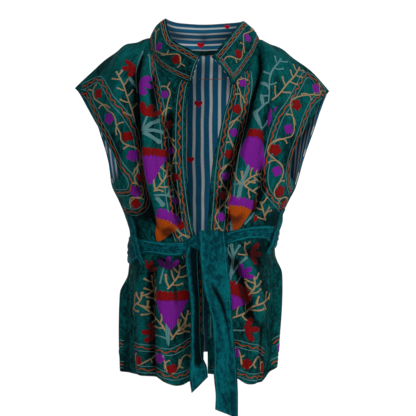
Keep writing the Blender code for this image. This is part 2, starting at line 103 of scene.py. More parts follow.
# The line down each side of the body, through the shoulder tip, the underarm and the side seam:
# distance out from the middle, place fore and aft, and the headings on which the front and the
# back leave it (degrees seen from above, 0 outwards, 90 to the back).
RIGHT_SIDE = table(
    "station out fore front_heading back_heading",
    (0, 260, 0, -178, 178), (8, 248, -1, -140, 140), (15, 236, -2, -116, 116), (21, 224, -3, -106, 105),
    (30, 203, -4, -98, 97), (40, 182, -4, -95, 88), (44, 169, -12, -96, 84), (49, 155, -18, -100, 80),
    (55, 142, -28, -105, 75), (60, 138, -32, -110, 70), (72, 139, -40, -120, 60),
    (88, 136, -48, -128, 52), (100, 132, -50, -130, 50),
)
LEFT_SIDE = table(
    "station out fore front_heading back_heading",
    (0, 256, 0, -178, 178), (8, 247, -1, -140, 140), (15, 236, -2, -116, 116), (21, 225, -3, -106, 105),
    (30, 206, -4, -98, 97), (40, 186, -4, -95, 88), (44, 172, -12, -96, 84), (49, 156, -18, -100, 80),
    (55, 142, -28, -105, 75), (60, 137, -32, -110, 70), (72, 133, -40, -122, 58),
    (88, 123, -48, -130, 50), (100, 117, -50, -130, 50),
)

# The armholes: how much of each section they cut away.
RIGHT_ARMHOLE = table(
    "station front_cut back_cut",
    (0, 0, 0), (4, 0.03, 0.006), (10, 0.05, 0.02), (15, 0.08, 0.05), (21, 0.16, 0.11),
    (27, 0.24, 0.115), (32, 0.3, 0.115), (36, 0.305, 0.09), (38, 0.205, 0.05), (39.3, 0.09, 0.02),
    (40, 0, 0), (100, 0, 0),
)
LEFT_ARMHOLE = table(
    "station front_cut back_cut",
    (0, 0, 0), (4, 0.03, 0.004), (10, 0.06, 0.01), (15, 0.11, 0.014), (21, 0.2, 0.014),
    (27, 0.28, 0.014), (32, 0.295, 0.018), (36, 0.265, 0.02), (38, 0.16, 0.014), (39.3, 0.06, 0.008),
    (40, 0, 0), (100, 0, 0),
)

# The free front edges.  Below the knot the right one turns back into the opening.
RIGHT_EDGE = table(
    "station out fore heading",
    (0, 21, -85, 180), (6, 28, -88, 180), (17, 33, -92, 180), (32, 34, -98, 180), (44, 27, -98, 180),
    (53, 20, -94, 178), (60, 8, -84, 162), (67, 0, -68, 148), (80, -2, -62, 142), (100, 0, -62, 142),
)
LEFT_EDGE = table(
    "station out fore heading",
    (0, 56, -84, 180), (10, 51, -88, 180), (17, 41, -92, 180), (25, 31, -95, 180), (34, 19, -98, 180),
    (44, 13, -98, 180), (60, 9, -93, 180), (80, 10, -97, 180), (100, 10, -99, 180),
)
CENTRE_BACK = table(
    "station out fore heading",
    (0, 0, 62, 180), (10, 0, 78, 180), (25, 0, 92, 180), (42, 0, 94, 180), (60, 0, 82, 180),
    (80, 0, 89, 180), (100, 0, 93, 180),
)

# Each shoulder seam from the tip to the neck point, then the neckline down to the front corner.
RIGHT_SHOULDER = table(
    "out fore height",
    (260, 0, -98), (227, 0, -68), (190, 1, -36), (148, 4, -14), (108, 8, 3),
)
LEFT_SHOULDER = table(
    "out fore height",
    (256, 0, -104), (216, 0, -62), (179, 1, -37), (140, 4, -15), (116, 8, 0),
)
RIGHT_NECKLINE = table(
    "out fore height",
    (108, 8, 3), (105, -12, -21), (90, -38, -52), (62, -62, -74), (21, -85, -94),
)
LEFT_NECKLINE = table(
    "out fore height",
    (116, 8, 0), (102, -20, -30), (87, -42, -54), (74, -64, -75), (56, -84, -95),
)
RIGHT_BACK_NECK = table("out fore height", (108, 8, 3), (76, 42, -10), (40, 57, -15), (0, 62, -17))
LEFT_BACK_NECK = table("out fore height", (116, 8, 0), (80, 42, -10), (42, 57, -15), (0, 62, -17))

# The height of the hem across each panel.
RIGHT_FRONT_HEM = table("share height", (0, -673), (0.35, -678), (0.62, -692), (0.85, -680), (1, -660))
LEFT_FRONT_HEM = table("share height", (0, -688), (0.3, -690), (0.6, -674), (1, -667))
RIGHT_BACK_HEM = table("share height", (0, -673), (0.3, -668), (0.6, -650), (1, -640))
LEFT_BACK_HEM = table("share height", (0, -688), (0.25, -650), (0.6, -642), (1, -640))

# The folds, the largest first and then the small creases that the light picks out.  Each runs from
# one station to another, at three distances from the inner edge (at its start, half way and at its
# end), with its own breadth on the edge side and the seam side.
FOLD_COLUMNS = "start end start_inset middle_inset end_inset edge_side seam_side rise"
RIGHT_FRONT_FOLDS = table(
    FOLD_COLUMNS,
    (1, 54, 124, 86, 54, 20, 10, 15), (1, 54, 148, 103, 70, 9, 26, -12),
    (-7, 42, 245, 166, 118, 18, 18, 7), (18, 54, 42, 30, 26, 8, 13, -9),
    (62, 120, 84, 92, 80, 30, 9, 13), (62, 120, 106, 117, 108, 8, 17, -13),
    (66, 120, 150, 148, 140, 16, 14, 6), (6, 30, 96, 88, 84, 6, 9, 2.2),
    (14, 54, 34, 28, 22, 12, 10, -5), (3, 36, 178, 150, 136, 9, 12, -4),
    (22, 52, 66, 50, 40, 7, 5, 2.4), (44, 54, 96, 84, 78, 5, 8, 3), (63, 84, 42, 48, 46, 7, 9, 2.2),
    (63, 78, 70, 64, 66, 5, 7, -2), (63, 90, 128, 134, 140, 9, 6, 3.2),
    (80, 110, 62, 58, 60, 9, 7, 2.4),
)
LEFT_FRONT_FOLDS = table(
    FOLD_COLUMNS,
    (1, 50.5, 148, 78, 38, 9, 25, 14), (1, 50.5, 126, 58, 20, 17, 9, -10),
    (-7, 44, 215, 150, 138, 24, 24, 6), (33, 51, 106, 97, 86, 9, 13, -7),
    (60, 84, 74, 94, 120, 9, 22, 11), (60, 84, 54, 74, 100, 16, 9, -8),
    (74, 120, 104, 96, 92, 16, 12, 8), (5, 28, 100, 84, 80, 7, 9, 2), (3, 30, 124, 100, 66, 8, 10, -5),
    (14, 54, 44, 40, 36, 8, 9, -3.5), (20, 46, 132, 120, 112, 9, 7, 2.4),
    (40, 51, 62, 56, 54, 5, 7, 2.6), (60, 76, 34, 40, 44, 7, 9, 2.2), (62, 90, 56, 50, 44, 9, 7, 2.4),
    (84, 112, 72, 66, 62, 8, 10, 2.6),
)
RIGHT_BACK_FOLDS = table(
    FOLD_COLUMNS,
    (8, 52.5, 190, 140, 118, 12, 22, 9), (14, 52.5, 92, 78, 62, 11, 18, 8),
    (14, 52.5, 110, 98, 84, 9, 14, -7), (66, 120, 60, 66, 80, 12, 20, 12),
    (66, 120, 96, 104, 118, 10, 20, -11), (66, 120, 150, 158, 168, 18, 14, 10),
    (68, 120, 200, 206, 210, 18, 12, 14), (4, 40, 150, 120, 108, 8, 12, 2.6),
    (42, 55, 40, 36, 34, 6, 8, 2.6), (63, 84, 30, 34, 36, 7, 9, 2.6),
    (64, 96, 124, 130, 134, 7, 10, 2.4),
)
LEFT_BACK_FOLDS = table(
    FOLD_COLUMNS,
    (6, 50, 176, 128, 100, 14, 22, 10), (18, 50, 70, 60, 50, 10, 16, 7),
    (18, 50, 86, 80, 72, 9, 14, -7), (63, 120, 52, 62, 72, 14, 20, 12),
    (63, 120, 92, 98, 108, 10, 18, -10), (62, 120, 136, 142, 150, 16, 14, 11),
    (62, 120, 196, 202, 206, 18, 12, 13), (4, 38, 140, 116, 104, 8, 12, 2.4),
    (40, 52, 44, 38, 34, 6, 8, 2.8), (62, 82, 28, 32, 36, 7, 9, 2.4),
    (64, 98, 114, 118, 124, 8, 10, 2.4),
)

# The free edge of the collar, from the wearer's right front end round the neck to the left one.
COLLAR_EDGE = table(
    "along across fore height",
    (0, -5, -98, -41), (0.1, -31, -82, -24), (0.19, -60, -58, -6), (0.25, -71, -25, 22),
    (0.3, -75, 5, 43), (0.39, -51, 40, 38), (0.515, 4, 54, 36), (0.64, 61, 40, 38), (0.72, 81, 8, 38),
    (0.79, 69, -25, 24), (0.88, 52, -58, 2), (1, 18, -98, -43),
)

# The belt's middle line and width where it crosses each panel, and how far it swells outwards.
BELT_LINE = "share station width swell"
BELT_ON_RIGHT_FRONT = table(BELT_LINE, (0, 60.5, 52, 5), (0.3, 58.6, 26, 2), (1, 59, 22, 1.5))
BELT_ON_LEFT_FRONT = table(BELT_LINE, (0, 55.5, 42, 5), (0.3, 53.6, 24, 2), (1, 58, 22, 1.5))
BELT_ON_RIGHT_BACK = table(BELT_LINE, (0, 60.5, 52, 5), (0.5, 60, 50, 3), (1, 59, 46, 2))
BELT_ON_LEFT_BACK = table(BELT_LINE, (0, 55.5, 42, 5), (0.5, 57.5, 46, 3), (1, 59, 46, 2))

# Creases along the belt: how far up its width they start and end, how deep and how broad.
BELT_CREASES = table(
    "start end depth breadth",
    (0.42, 0.06, 2.6, 0.08), (0.02, -0.14, 2.2, 0.07), (-0.22, -0.4, 2.4, 0.08), (-0.3, 0.3, 1.4, 0.06),
)

# The tails, edge by edge from the knot down, the knot from end to end, and the loops down the seams.
LONG_TAIL = table(
    "left right fore left_height right_height",
    (-7, 43, -98.6, -424, -424), (-7, 43, -98.6, -394, -396), (-7, 43, -101, -387, -389),
    (-7, 43, -104.2, -389, -391), (-6, 45, -105.2, -408, -408), (-5, 47, -107.5, -431, -431),
    (2, 53, -112, -496, -496), (12, 56, -114, -533, -533), (21, 59, -116, -583, -583),
    (22, 66, -117, -663, -663), (26, 68, -116, -710, -712), (25, 68, -115, -736, -753),
)
SHORT_TAIL = table(
    "left right left_fore right_fore left_height right_height",
    (-29, -9, -100.5, -99.5, -413.4, -424.4), (-34, -9, -103, -99.5, -440, -440),
    (-30, -8, -106, -98, -482, -482), (-24, -7, -108, -92, -539, -539),
    (-24, -4, -109, -92, -627, -627), (-26, 7, -110, -98, -668, -655), (-22, 9, -110, -100, -704, -674),
)
KNOT = table(
    "across fore top bottom",
    (-30, -99.4, -404, -412), (-16, -99.2, -396, -420), (-8, -99, -398, -424), (8, -99, -399, -424),
    (26, -99, -399, -424), (43, -99, -402, -424),
)
RIGHT_LOOP = table(
    "station seam_share edge_share lift",
    (49, 0.05, 0.24, 2.6), (51, 0.07, 0.25, 3.2), (54, 0.1, 0.25, 8), (56, 0.12, 0.25, 11),
    (61, 0.16, 0.26, 11), (63, 0.17, 0.26, 5), (64.5, 0.18, 0.26, 2.6),
)
LEFT_LOOP = table(
    "station seam_share edge_share lift",
    (46.5, 0.03, 0.16, 2.6), (48, 0.05, 0.16, 3.4), (50, 0.06, 0.17, 9), (52, 0.07, 0.17, 11),
    (57, 0.08, 0.18, 11), (59, 0.08, 0.18, 5), (60.5, 0.08, 0.18, 2.6),
)


def smooth(at, knots, values):
    """A curve through the knots that never overshoots between them."""
    step = np.diff(knots)
    slope = np.diff(values) / step
    product = slope[1:] * slope[:-1]
    total = slope[1:] + slope[:-1]
    agree = product > 0
    inner = np.where(agree, 2 * product / np.where(agree, total, 1), 0)
    tangent = np.concatenate([slope[:1], inner, slope[-1:]])
    i = np.clip(np.searchsorted(knots, at, side="right") - 1, 0, len(step) - 1)
    t = (at - knots[i]) / step[i]
    rise = (3 - 2 * t) * t * t
    bend = step[i] * t * (1 - t) * (tangent[i] * (1 - t) - tangent[i + 1] * t)
    return values[i] * (1 - rise) + values[i + 1] * rise + bend


def ease(amount):
    """0 to 1 with a soft start and a soft end."""
    amount = np.clip(amount, 0, 1)
    return amount * amount * (3 - 2 * amount)


def hump(at, middle, breadth):
    """1 at the middle, falling softly to 0 on both sides."""
    return np.exp(-(((at - middle) / breadth) ** 2))


def unit(vectors):
    """The vectors, each made one long."""
    return vectors / np.maximum(np.linalg.norm(vectors, axis=-1, keepdims=True), 1e-9)


def run_length(line):
    """The distance along a line of points at each of them."""
    return np.concatenate([[0], np.cumsum(np.linalg.norm(np.diff(line, axis=0), axis=1))])


def read(grid, row, column):
    """A grid's values between its rows and columns."""
    i = np.minimum(row.astype(int), grid.shape[0] - 2)
    j = np.minimum(column.astype(int), grid.shape[1] - 2)
    down, over = row - i, column - j
    if grid.ndim > 2:
        down, over = down[..., None], over[..., None]
    upper = grid[i, j] * (1 - over) + grid[i, j + 1] * over
    lower = grid[i + 1, j] * (1 - over) + grid[i + 1, j + 1] * over
    return upper * (1 - down) + lower * down


def followed(rows, names, at, along):
    """The named columns of a table, followed smoothly along another of its columns."""
    return np.array([smooth(at, rows[along], rows[name]) for name in names])


PLACE = ("out", "fore", "height")


class HalfPanel:
    """A front, or half of the back, in its own distances out from the middle."""

    def __init__(self, sign, side, armhole, face, inner, shoulder, neck, hem, folds, fullness):
        self.sign, self.inner, self.hem, self.folds, self.fullness = sign, inner, hem, folds, fullness
        self.outer = dict(side, heading=side[face + "_heading"])
        self.armhole = dict(armhole, cut=armhole[face + "_cut"])
        self.top = {name: np.concatenate([shoulder[name], neck[name][1:]]) for name in PLACE}
        lengths = run_length(np.stack([self.top[name] for name in PLACE], axis=-1))
        self.top["share"] = lengths / lengths[-1]
        self.neck_share = self.top["share"][len(shoulder["out"]) - 1]
        self.ruler = self.measure()
        self.inverse = np.array(
            [np.interp(INSET_SHARES, row[::-1] / row[0], 1 - RULER_SHARES) for row in self.ruler]
        )

    def measure(self):
        """Distances along each section from the inner edge, on an even grid of shares and stations."""
        station, share = np.meshgrid(RULER_STATIONS, RULER_SHARES, indexing="ij")
        steps = np.linalg.norm(np.diff(self.base(share, station), axis=1), axis=2)
        from_edge = np.cumsum(steps[:, ::-1], axis=1)[:, ::-1]
        return np.concatenate([from_edge, np.zeros((len(from_edge), 1))], axis=1)

    def inset(self, share, station):
        """How far a place lies from the inner edge, measured along the unfolded cloth."""
        row = np.clip(station, 0, HEM) / HEM * (len(RULER_STATIONS) - 1)
        return read(self.ruler, row, np.clip(share, 0, 1) * (len(RULER_SHARES) - 1))

    def width(self, station):
        """The whole width of a row."""
        return self.inset(np.zeros_like(station), station)

    def share(self, inset, station):
        """The share at which a row has run a distance in from the inner edge."""
        row = np.clip(station, 0, HEM) / HEM * (len(RULER_STATIONS) - 1)
        column = np.clip(inset / self.width(station), 0, 0.9999) * (len(INSET_SHARES) - 1)
        return read(self.inverse, row, column)

    def across(self, share, station):
        """The section at a station, seen from above: one curve from the outer line to the inner."""
        ends, ways = [], []
        for line in (self.outer, self.inner):
            out, fore, heading = followed(line, ("out", "fore", "heading"), station, "station")
            ends.append(np.array([out, fore]))
            ways.append(np.array([np.cos(np.radians(heading)), np.sin(np.radians(heading))]))
        start, end = ends
        reach = self.fullness * np.hypot(*(end - start))
        leave, arrive = start + reach * ways[0], end - reach * ways[1]
        cut = smooth(station, self.armhole["station"], self.armhole["cut"])
        reached = share + cut * (1 - share) ** 2
        left = 1 - reached
        nearer = left**3 * start + 3 * left**2 * reached * leave
        return nearer + 3 * left * reached**2 * arrive + reached**3 * end

    def top_line(self, share):
        """The shoulder seam and the neckline."""
        return followed(self.top, PLACE, share, "share")

    def base(self, share, station):
        """The unfolded cloth, domed over the shoulder and hanging from the chest."""
        above = np.clip(station / UNDERARM, 0, 1)
        falls = above**1.4
        top_out, top_fore, top_height = self.top_line(share)
        start = self.across(share, np.zeros_like(station))
        out, fore = self.across(share, station) + (1 - above) ** 2 * (np.array([top_out, top_fore]) - start)
        hem = smooth(share, self.hem["share"], self.hem["height"])
        hangs = np.clip((station - UNDERARM) / (HEM - UNDERARM), 0, None)
        height = top_height * (1 - falls) + UNDERARM_HEIGHT * falls + (hem - UNDERARM_HEIGHT) * hangs
        return np.stack([self.sign * out, fore, height], axis=-1)

    def fold_height(self, share, station):
        """How far the folds carry the cloth in or out, calm along the seam and the centre back."""
        inset = self.inset(share, station)
        height = np.zeros_like(inset)
        for start, end, first, middle, last, edge_side, seam_side, rise in zip(*self.folds.values()):
            along = np.clip((station - start) / (end - start), 0, 1)
            bow = 2 * middle - (first + last) / 2
            path = (1 - along) ** 2 * first + 2 * along * (1 - along) * bow + along**2 * last
            breadth = np.where(inset < path, edge_side, seam_side)
            ends = ease((station - start) / FOLD_FADE) * ease((end - station) / FOLD_FADE)
            height += rise * hump(inset, path, breadth) * ends
        height *= ease((self.width(station) - inset) / SEAM_CALM)
        return height * ease(inset / SEAM_CALM) if self.inner is CENTRE_BACK else height

    def outward(self, share, station):
        """The unfolded cloth's normal, away from the wearer."""
        left, right = np.clip(share - 0.01, 0, 1), np.clip(share + 0.01, 0, 1)
        upper, lower = np.clip(station - 1, 0, HEM), np.clip(station + 1, 0, HEM)
        along_row = self.base(right, station) - self.base(left, station)
        down = self.base(share, lower) - self.base(share, upper)
        return unit(np.cross(down, along_row) * self.sign * (-1 if self.inner is not CENTRE_BACK else 1))

    def point(self, share, station, lift=0.0):
        """The folded cloth's inner face, or a place lifted off it."""
        share, station = np.broadcast_arrays(np.asarray(share, float), np.asarray(station, float))
        away = np.asarray(self.fold_height(share, station) + lift)
        return self.base(share, station) + self.outward(share, station) * away[..., None]


RIGHT_HALF, LEFT_HALF = (-1, RIGHT_SIDE, RIGHT_ARMHOLE), (1, LEFT_SIDE, LEFT_ARMHOLE)
RIGHT_FRONT = HalfPanel(
    *RIGHT_HALF, "front", RIGHT_EDGE, RIGHT_SHOULDER, RIGHT_NECKLINE,
    RIGHT_FRONT_HEM, RIGHT_FRONT_FOLDS, FRONT_FULLNESS,
)
LEFT_FRONT = HalfPanel(
    *LEFT_HALF, "front", LEFT_EDGE, LEFT_SHOULDER, LEFT_NECKLINE,
    LEFT_FRONT_HEM, LEFT_FRONT_FOLDS, FRONT_FULLNESS,
)
RIGHT_BACK = HalfPanel(
    *RIGHT_HALF, "back", CENTRE_BACK, RIGHT_SHOULDER, RIGHT_BACK_NECK,
    RIGHT_BACK_HEM, RIGHT_BACK_FOLDS, BACK_FULLNESS,
)
LEFT_BACK = HalfPanel(
    *LEFT_HALF, "back", CENTRE_BACK, LEFT_SHOULDER, LEFT_BACK_NECK,
    LEFT_BACK_HEM, LEFT_BACK_FOLDS, BACK_FULLNESS,
)


def drawn_back(edge, neighbour, distance):
    """An edge moved square to itself, towards the row beside it."""
    along = unit(np.gradient(edge, axis=0))
    way = neighbour - edge
    way = unit(way - along * np.sum(way * along, axis=-1, keepdims=True))
    return edge + way * np.broadcast_to(distance, len(edge))[:, None]


def trimmed(points, reach, *sides):
    """A grid with its first (0) or last (-1) columns drawn back by half a seam's gap."""
    points = points.copy()
    for side in sides:
        neighbour = points[:, reach if side == 0 else -1 - reach]
        points[:, side] = drawn_back(points[:, side], neighbour, SEAM_GAP / 2)
    return points


def sheet_normals(points):
    """Normals of a grid of points, rows running down and columns to the viewer's right outside."""
    return unit(np.cross(np.gradient(points, axis=0), np.gradient(points, axis=1)))


def neck_seam(along):
    """The neckline from the wearer's right front corner round the back to the left one."""
    parts = []
    for panel in (RIGHT_FRONT, RIGHT_BACK, LEFT_BACK, LEFT_FRONT):
        share = np.linspace(panel.neck_share, 1, 25)
        if panel in (RIGHT_FRONT, LEFT_BACK):
            share = share[::-1]
        out, fore, height = panel.top_line(share)
        parts.append(np.stack([panel.sign * out, fore, height], axis=-1)[1 if parts else 0 :])
    line = np.concatenate(parts)
    place = run_length(line)
    return np.stack([np.interp(along * place[-1], place, axis) for axis in line.T], axis=-1)


# ---- cloth on a finer grid ----


def stations(rows):
    """Rows down a panel, with a few more round the foot of the armhole."""
    return np.unique(np.concatenate([np.linspace(0, HEM, rows), UNDERARM_STATIONS]))


def panel_grid(panel, rows, columns):
    """A panel's points and, for each, its place on the flat cut: in from the edge and down, in mm."""
    station, share = np.meshgrid(stations(rows), np.linspace(0, 1, columns), indexing="ij")
    inset = panel.inset(share, station)
    return panel.point(share, station), np.stack([inset, station * STATION_LENGTH], axis=-1)


def front_grid(panel):
    """A front, its side edge and its top drawn back from the seams, columns to the viewer's right."""
    points, cut = panel_grid(panel, FRONT_ROWS, FRONT_COLUMNS)
    points = trimmed(points, 2, 0)
    top = np.where(np.linspace(0, 1, FRONT_COLUMNS) < panel.neck_share, SEAM_GAP / 2, NECK_TURN)
    points[0] = drawn_back(points[0], points[2], top)
    return (points, cut) if panel.sign < 0 else (points[:, ::-1], cut[:, ::-1])


def back_grid():
    """Both halves of the back as one grid."""
    left, left_cut = panel_grid(LEFT_BACK, BACK_ROWS, BACK_COLUMNS)
    right, right_cut = panel_grid(RIGHT_BACK, BACK_ROWS, BACK_COLUMNS)
    points = np.concatenate([left, right[:, -2::-1]], axis=1)
    cut = np.concatenate([left_cut, (right_cut * [-1, 1])[:, -2::-1]], axis=1)
    return trimmed(points, 2, 0, -1), cut


def proud(points, normals, reach):
    """How far each point stands out from the cloth round it, in mm."""
    wide = np.pad(points, ((reach, reach), (reach, reach), (0, 0)), mode="reflect", reflect_type="odd")
    sums = np.pad(wide, ((1, 0), (1, 0), (0, 0))).cumsum(axis=0).cumsum(axis=1)
    span = 2 * reach + 1
    mean = sums[span:, span:] - sums[:-span, span:] - sums[span:, :-span] + sums[:-span, :-span]
    return np.sum((points - mean / span**2) * normals, axis=-1)


def relief(points, normals):
    """0.5 where the cloth is level, down to 0 in a deep hollow and up to 1 on a ridge."""
    near, far = (min(reach, min(points.shape[:2]) - 1) for reach in (NEAR_REACH, FAR_REACH))
    body = proud(points, normals, far)
    down, over = (np.minimum(np.arange(n), np.arange(n)[::-1]) / (2.0 * near) for n in points.shape[:2])
    inside = np.clip(np.minimum(down[:, None], over), None, 1)
    rise = proud(points, normals, near) / NEAR_HEIGHT + (body - np.median(body)) / FAR_HEIGHT
    return np.clip(0.5 + inside * rise, 0, 1)


def grid_faces(rows, columns):
    """The four-cornered faces between a grid's points."""
    r, c = np.meshgrid(np.arange(rows - 1), np.arange(columns - 1), indexing="ij")
    corner = (r * columns + c).ravel()
    return np.stack([corner, corner + columns, corner + columns + 1, corner + 1], axis=1)


def shell(name, points, cut, wall, finishes, outwards=True, shade=0.0, contrast=1.0):
    """A cloth with its wall outside the grid (or behind it) and rounded edges; its relief sets painted shade
    in hollows and painted highlight on ridges, scaled by contrast, and shade adds painted shade to parts.
    """
    rows, columns = points.shape[:2]
    normals = sheet_normals(points)
    # Painted shade in the hollows and painted highlight on the ridges, from the relief, less any painted
    # shade given.
    lie = 0.5 + contrast * (relief(points, normals if outwards else -normals) - 0.5)
    lie = np.clip(lie - shade, 0, 1).ravel()
    near, far = points.reshape(-1, 3), (points + normals * (wall if outwards else -wall)).reshape(-1, 3)
    rim = [(0, c) for c in range(columns)] + [(r, columns - 1) for r in range(1, rows)]
    rim += [(rows - 1, c) for c in range(columns - 2, -1, -1)]
    rim = np.array(rim + [(r, 0) for r in range(rows - 2, 0, -1)])
    index = rim[:, 0] * columns + rim[:, 1]
    inner = np.clip(rim, [2, 2], [rows - 3, columns - 3])
    away = unit(near[index] - points[inner[:, 0], inner[:, 1]])
    middle = (near[index] + far[index]) / 2 + away * wall * EDGE_BULGE
    places = cut.reshape(-1, 2)
    count = rows * columns
    faces = grid_faces(rows, columns)
    after = np.roll(index, -1)
    mid = 2 * count + np.arange(len(index))
    mid_after = np.roll(mid, -1)
    edge_in = np.stack([index, after, mid_after, mid], axis=1)
    edge_out = np.stack([mid, mid_after, after + count, index + count], axis=1)
    faces = np.concatenate([faces + count, faces[:, ::-1], edge_in, edge_out])
    if not outwards:
        faces = faces[:, ::-1]
    slots = np.zeros(len(faces), dtype=int)
    quads = (rows - 1) * (columns - 1)
    slots[quads + TURNED_IN_ROWS * (columns - 1) : 2 * quads] = 1
    return make_piece(
        name,
        np.concatenate([near, far, middle]),
        faces.tolist(),
        np.concatenate([places, places, places[index]]),
        slots,
        finishes,
        np.concatenate([lie, lie, lie[index]]),
    )


def placed(name, data):
    """A new object in the scene."""
    thing = bpy.data.objects.new(name, data)
    bpy.context.scene.collection.objects.link(thing)
    return thing


def make_piece(name, vertices, faces, places, slots, finishes, lie):
    """A mesh in metres, with its flat places in metres as the UV map "cut" and its relief, which sets its
    painted shade and highlight, as "lie".
    """
    mesh = bpy.data.meshes.new(name)
    mesh.from_pydata((vertices * MM).tolist(), [], faces)
    mesh.polygons.foreach_set("material_index", np.asarray(slots, dtype=np.int32))
    mesh.polygons.foreach_set("use_smooth", np.ones(len(faces), dtype=bool))
    corners = np.empty(len(mesh.loops), dtype=np.int32)
    mesh.loops.foreach_get("vertex_index", corners)
    for label, values in (("cut", places * MM), ("lie", np.stack([lie, lie], axis=-1))):
        layer = mesh.uv_layers.new(name=label)
        layer.data.foreach_set("uv", values[corners].ravel().astype(np.float32))
    for finish in finishes:
        mesh.materials.append(finish)
    piece = placed(name, mesh)
    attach(piece, "root")
    return piece


# ---- finishes ----


def fitted(tree, node, inputs):
    """The node with its inputs set to plain values or joined to other nodes' sockets."""
    for key, value in inputs.items():
        if isinstance(value, bpy.types.NodeSocket):
            tree.links.new(value, node.inputs[key])
        else:
            node.inputs[key].default_value = value
    return node


def add_node(tree, kind, inputs=None, **settings):
    """The first output of a new node."""
    node = tree.nodes.new(kind)
    for key, value in settings.items():
        setattr(node, key, value)
    return fitted(tree, node, inputs or {}).outputs[0]


def maths(tree, operation, first, second=0.0, third=0.0):
    return add_node(tree, "ShaderNodeMath", {0: first, 1: second, 2: third}, operation=operation)


def ramp(tree, value, low, full, most=1.0):
    """0 up to a low value, rising to the most at the full one."""
    inputs = {"Value": value, "From Min": low, "From Max": full, "To Max": most}
    return add_node(tree, "ShaderNodeMapRange", inputs)


def mixed(tree, amount, first, second):
    """A colour between two colours."""
    node = tree.nodes.new("ShaderNodeMix")
    node.data_type = "RGBA"
    return fitted(tree, node, {0: amount, 6: first, 7: second}).outputs[2]


def uneven(tree, place, across, down, **inputs):
    """Soft patches, so many to the metre across and down the cloth."""
    spread = add_node(tree, "ShaderNodeMapping", {"Vector": place, "Scale": (across, down, 1.0)})
    return add_node(tree, "ShaderNodeTexNoise", {"Vector": spread, "Scale": 1.0, **inputs})


def apart(tree, place):
    """The parts of a place across and down the cloth."""
    node = tree.nodes.new("ShaderNodeSeparateXYZ")
    return fitted(tree, node, {0: place}).outputs


def new_group(name, inputs, outputs):
    """A node group, its inputs numbers with a default, or a vector where that is None."""
    group = bpy.data.node_groups.new(name, "ShaderNodeTree")
    for label, default in inputs.items():
        kind = "NodeSocketVector" if default is None else "NodeSocketFloat"
        socket = group.interface.new_socket(label, in_out="INPUT", socket_type=kind)
        if default is not None:
            socket.default_value = default
    for label in outputs:
        group.interface.new_socket(label, in_out="OUTPUT", socket_type="NodeSocketFloat")
    return group, group.nodes.new("NodeGroupInput").outputs


def given_out(group, **values):
    """The group with its outputs joined."""
    fitted(group, group.nodes.new("NodeGroupOutput"), values)
    return group


def pile_group():
    """Velvet pile: where it is brushed one way or the other, and its fine grain."""
    group, given = new_group("velvet_pile", {"Place": None, "Grain": 900.0}, ("Brushed", "Nap", "Height"))
    place = given["Place"]
    broad = uneven(group, place, 38.0, 20.0, Detail=3.0, Distortion=0.8)
    small = uneven(group, place, 150.0, 90.0, Detail=3.0, Distortion=0.5)
    fine = uneven(group, place, 420.0, 240.0, Detail=3.0, Roughness=0.6)
    grain = add_node(group, "ShaderNodeTexNoise", {"Vector": place, "Scale": given["Grain"], "Detail": 2.0})
    blend = maths(group, "MULTIPLY_ADD", small, 0.75, maths(group, "MULTIPLY", broad, 0.75))
    height = maths(group, "MULTIPLY_ADD", small, 1.6, maths(group, "MULTIPLY", fine, 0.6))
    return given_out(
        group,
        Brushed=ramp(group, blend, 0.64, 0.86),
        Nap=ramp(group, fine, 0.36, 0.64),
        Height=maths(group, "MULTIPLY_ADD", grain, 0.5, height),
    )


def plain_weave_group():
    """Plain weave: threads over and under, and uneven slubs."""
    group, given = new_group("plain_weave", {"Place": None, "Threads": 1100.0}, ("Height", "Slub"))
    x, y, _ = apart(group, given["Place"])
    over, under = (maths(group, "SINE", maths(group, "MULTIPLY", way, given["Threads"])) for way in (x, y))
    slub = uneven(group, given["Place"], 60.0, 420.0, Detail=3.0)
    height = maths(group, "MULTIPLY_ADD", maths(group, "MULTIPLY", over, under), 0.35, slub)
    return given_out(group, Height=height, Slub=slub)


def chain_stitch_group():
    """Chain stitch: loops along the row, rows side by side, with the thread's twist; its shade is painted
    highlight on the loops and painted shade in the grooves between them, with the twist's own colour change.
    """
    sizes = {"Place": None, "Stitch": 3.4, "Row": 2.6}
    group, given = new_group("chain_stitch", sizes, ("Height", "Shade"))
    x, y, _ = apart(group, given["Place"])
    along = maths(group, "DIVIDE", maths(group, "MULTIPLY", y, 1000.0), given["Stitch"])
    across = maths(group, "DIVIDE", maths(group, "MULTIPLY", x, 1000.0), given["Row"])
    off_middle = maths(group, "ABSOLUTE", maths(group, "SUBTRACT", maths(group, "FRACT", across), 0.5))
    loop = maths(group, "FRACT", maths(group, "ADD", along, maths(group, "MULTIPLY", off_middle, 0.9)))
    hollow = maths(group, "POWER", maths(group, "MULTIPLY", off_middle, 2.0), 2.0)
    crown = maths(group, "SUBTRACT", 1.0, hollow)
    groove = maths(group, "SINE", maths(group, "MULTIPLY", loop, np.pi))
    height = maths(group, "MULTIPLY", crown, maths(group, "MULTIPLY_ADD", groove, 0.6, 0.4))
    twist = add_node(group, "ShaderNodeTexNoise", {"Vector": given["Place"], "Scale": 260.0, "Detail": 2.0})
    # Painted highlight on each loop's crown and painted shade in the grooves between loops and rows, mixed
    # with the twist's own colour change.
    shade = maths(group, "MULTIPLY_ADD", crown, 0.5, maths(group, "MULTIPLY", twist, 0.5))
    return given_out(group, Height=height, Shade=maths(group, "MULTIPLY_ADD", groove, 0.3, shade))


def painted_fold_shade_group():
    """How much painted shade a place gets deep in a fold's hollow, and how much painted highlight high on its
    ridge.
    """
    group, given = new_group("painted_fold_shade", {"Lie": None, "Strength": 1.0}, ("Hollow", "Ridge"))
    lie = apart(group, given["Lie"])[0]
    hollow, ridge = ramp(group, lie, 0.5, 0.2, 0.96), ramp(group, lie, 0.6, 1.0, 0.4)
    strength = given["Strength"]
    return given_out(
        group,
        Hollow=maths(group, "MULTIPLY", hollow, strength),
        Ridge=maths(group, "MULTIPLY", ridge, strength),
    )


PILE, WEAVE, CHAIN, PAINTED_FOLD_SHADE = pile_group(), plain_weave_group(), chain_stitch_group(), painted_fold_shade_group()


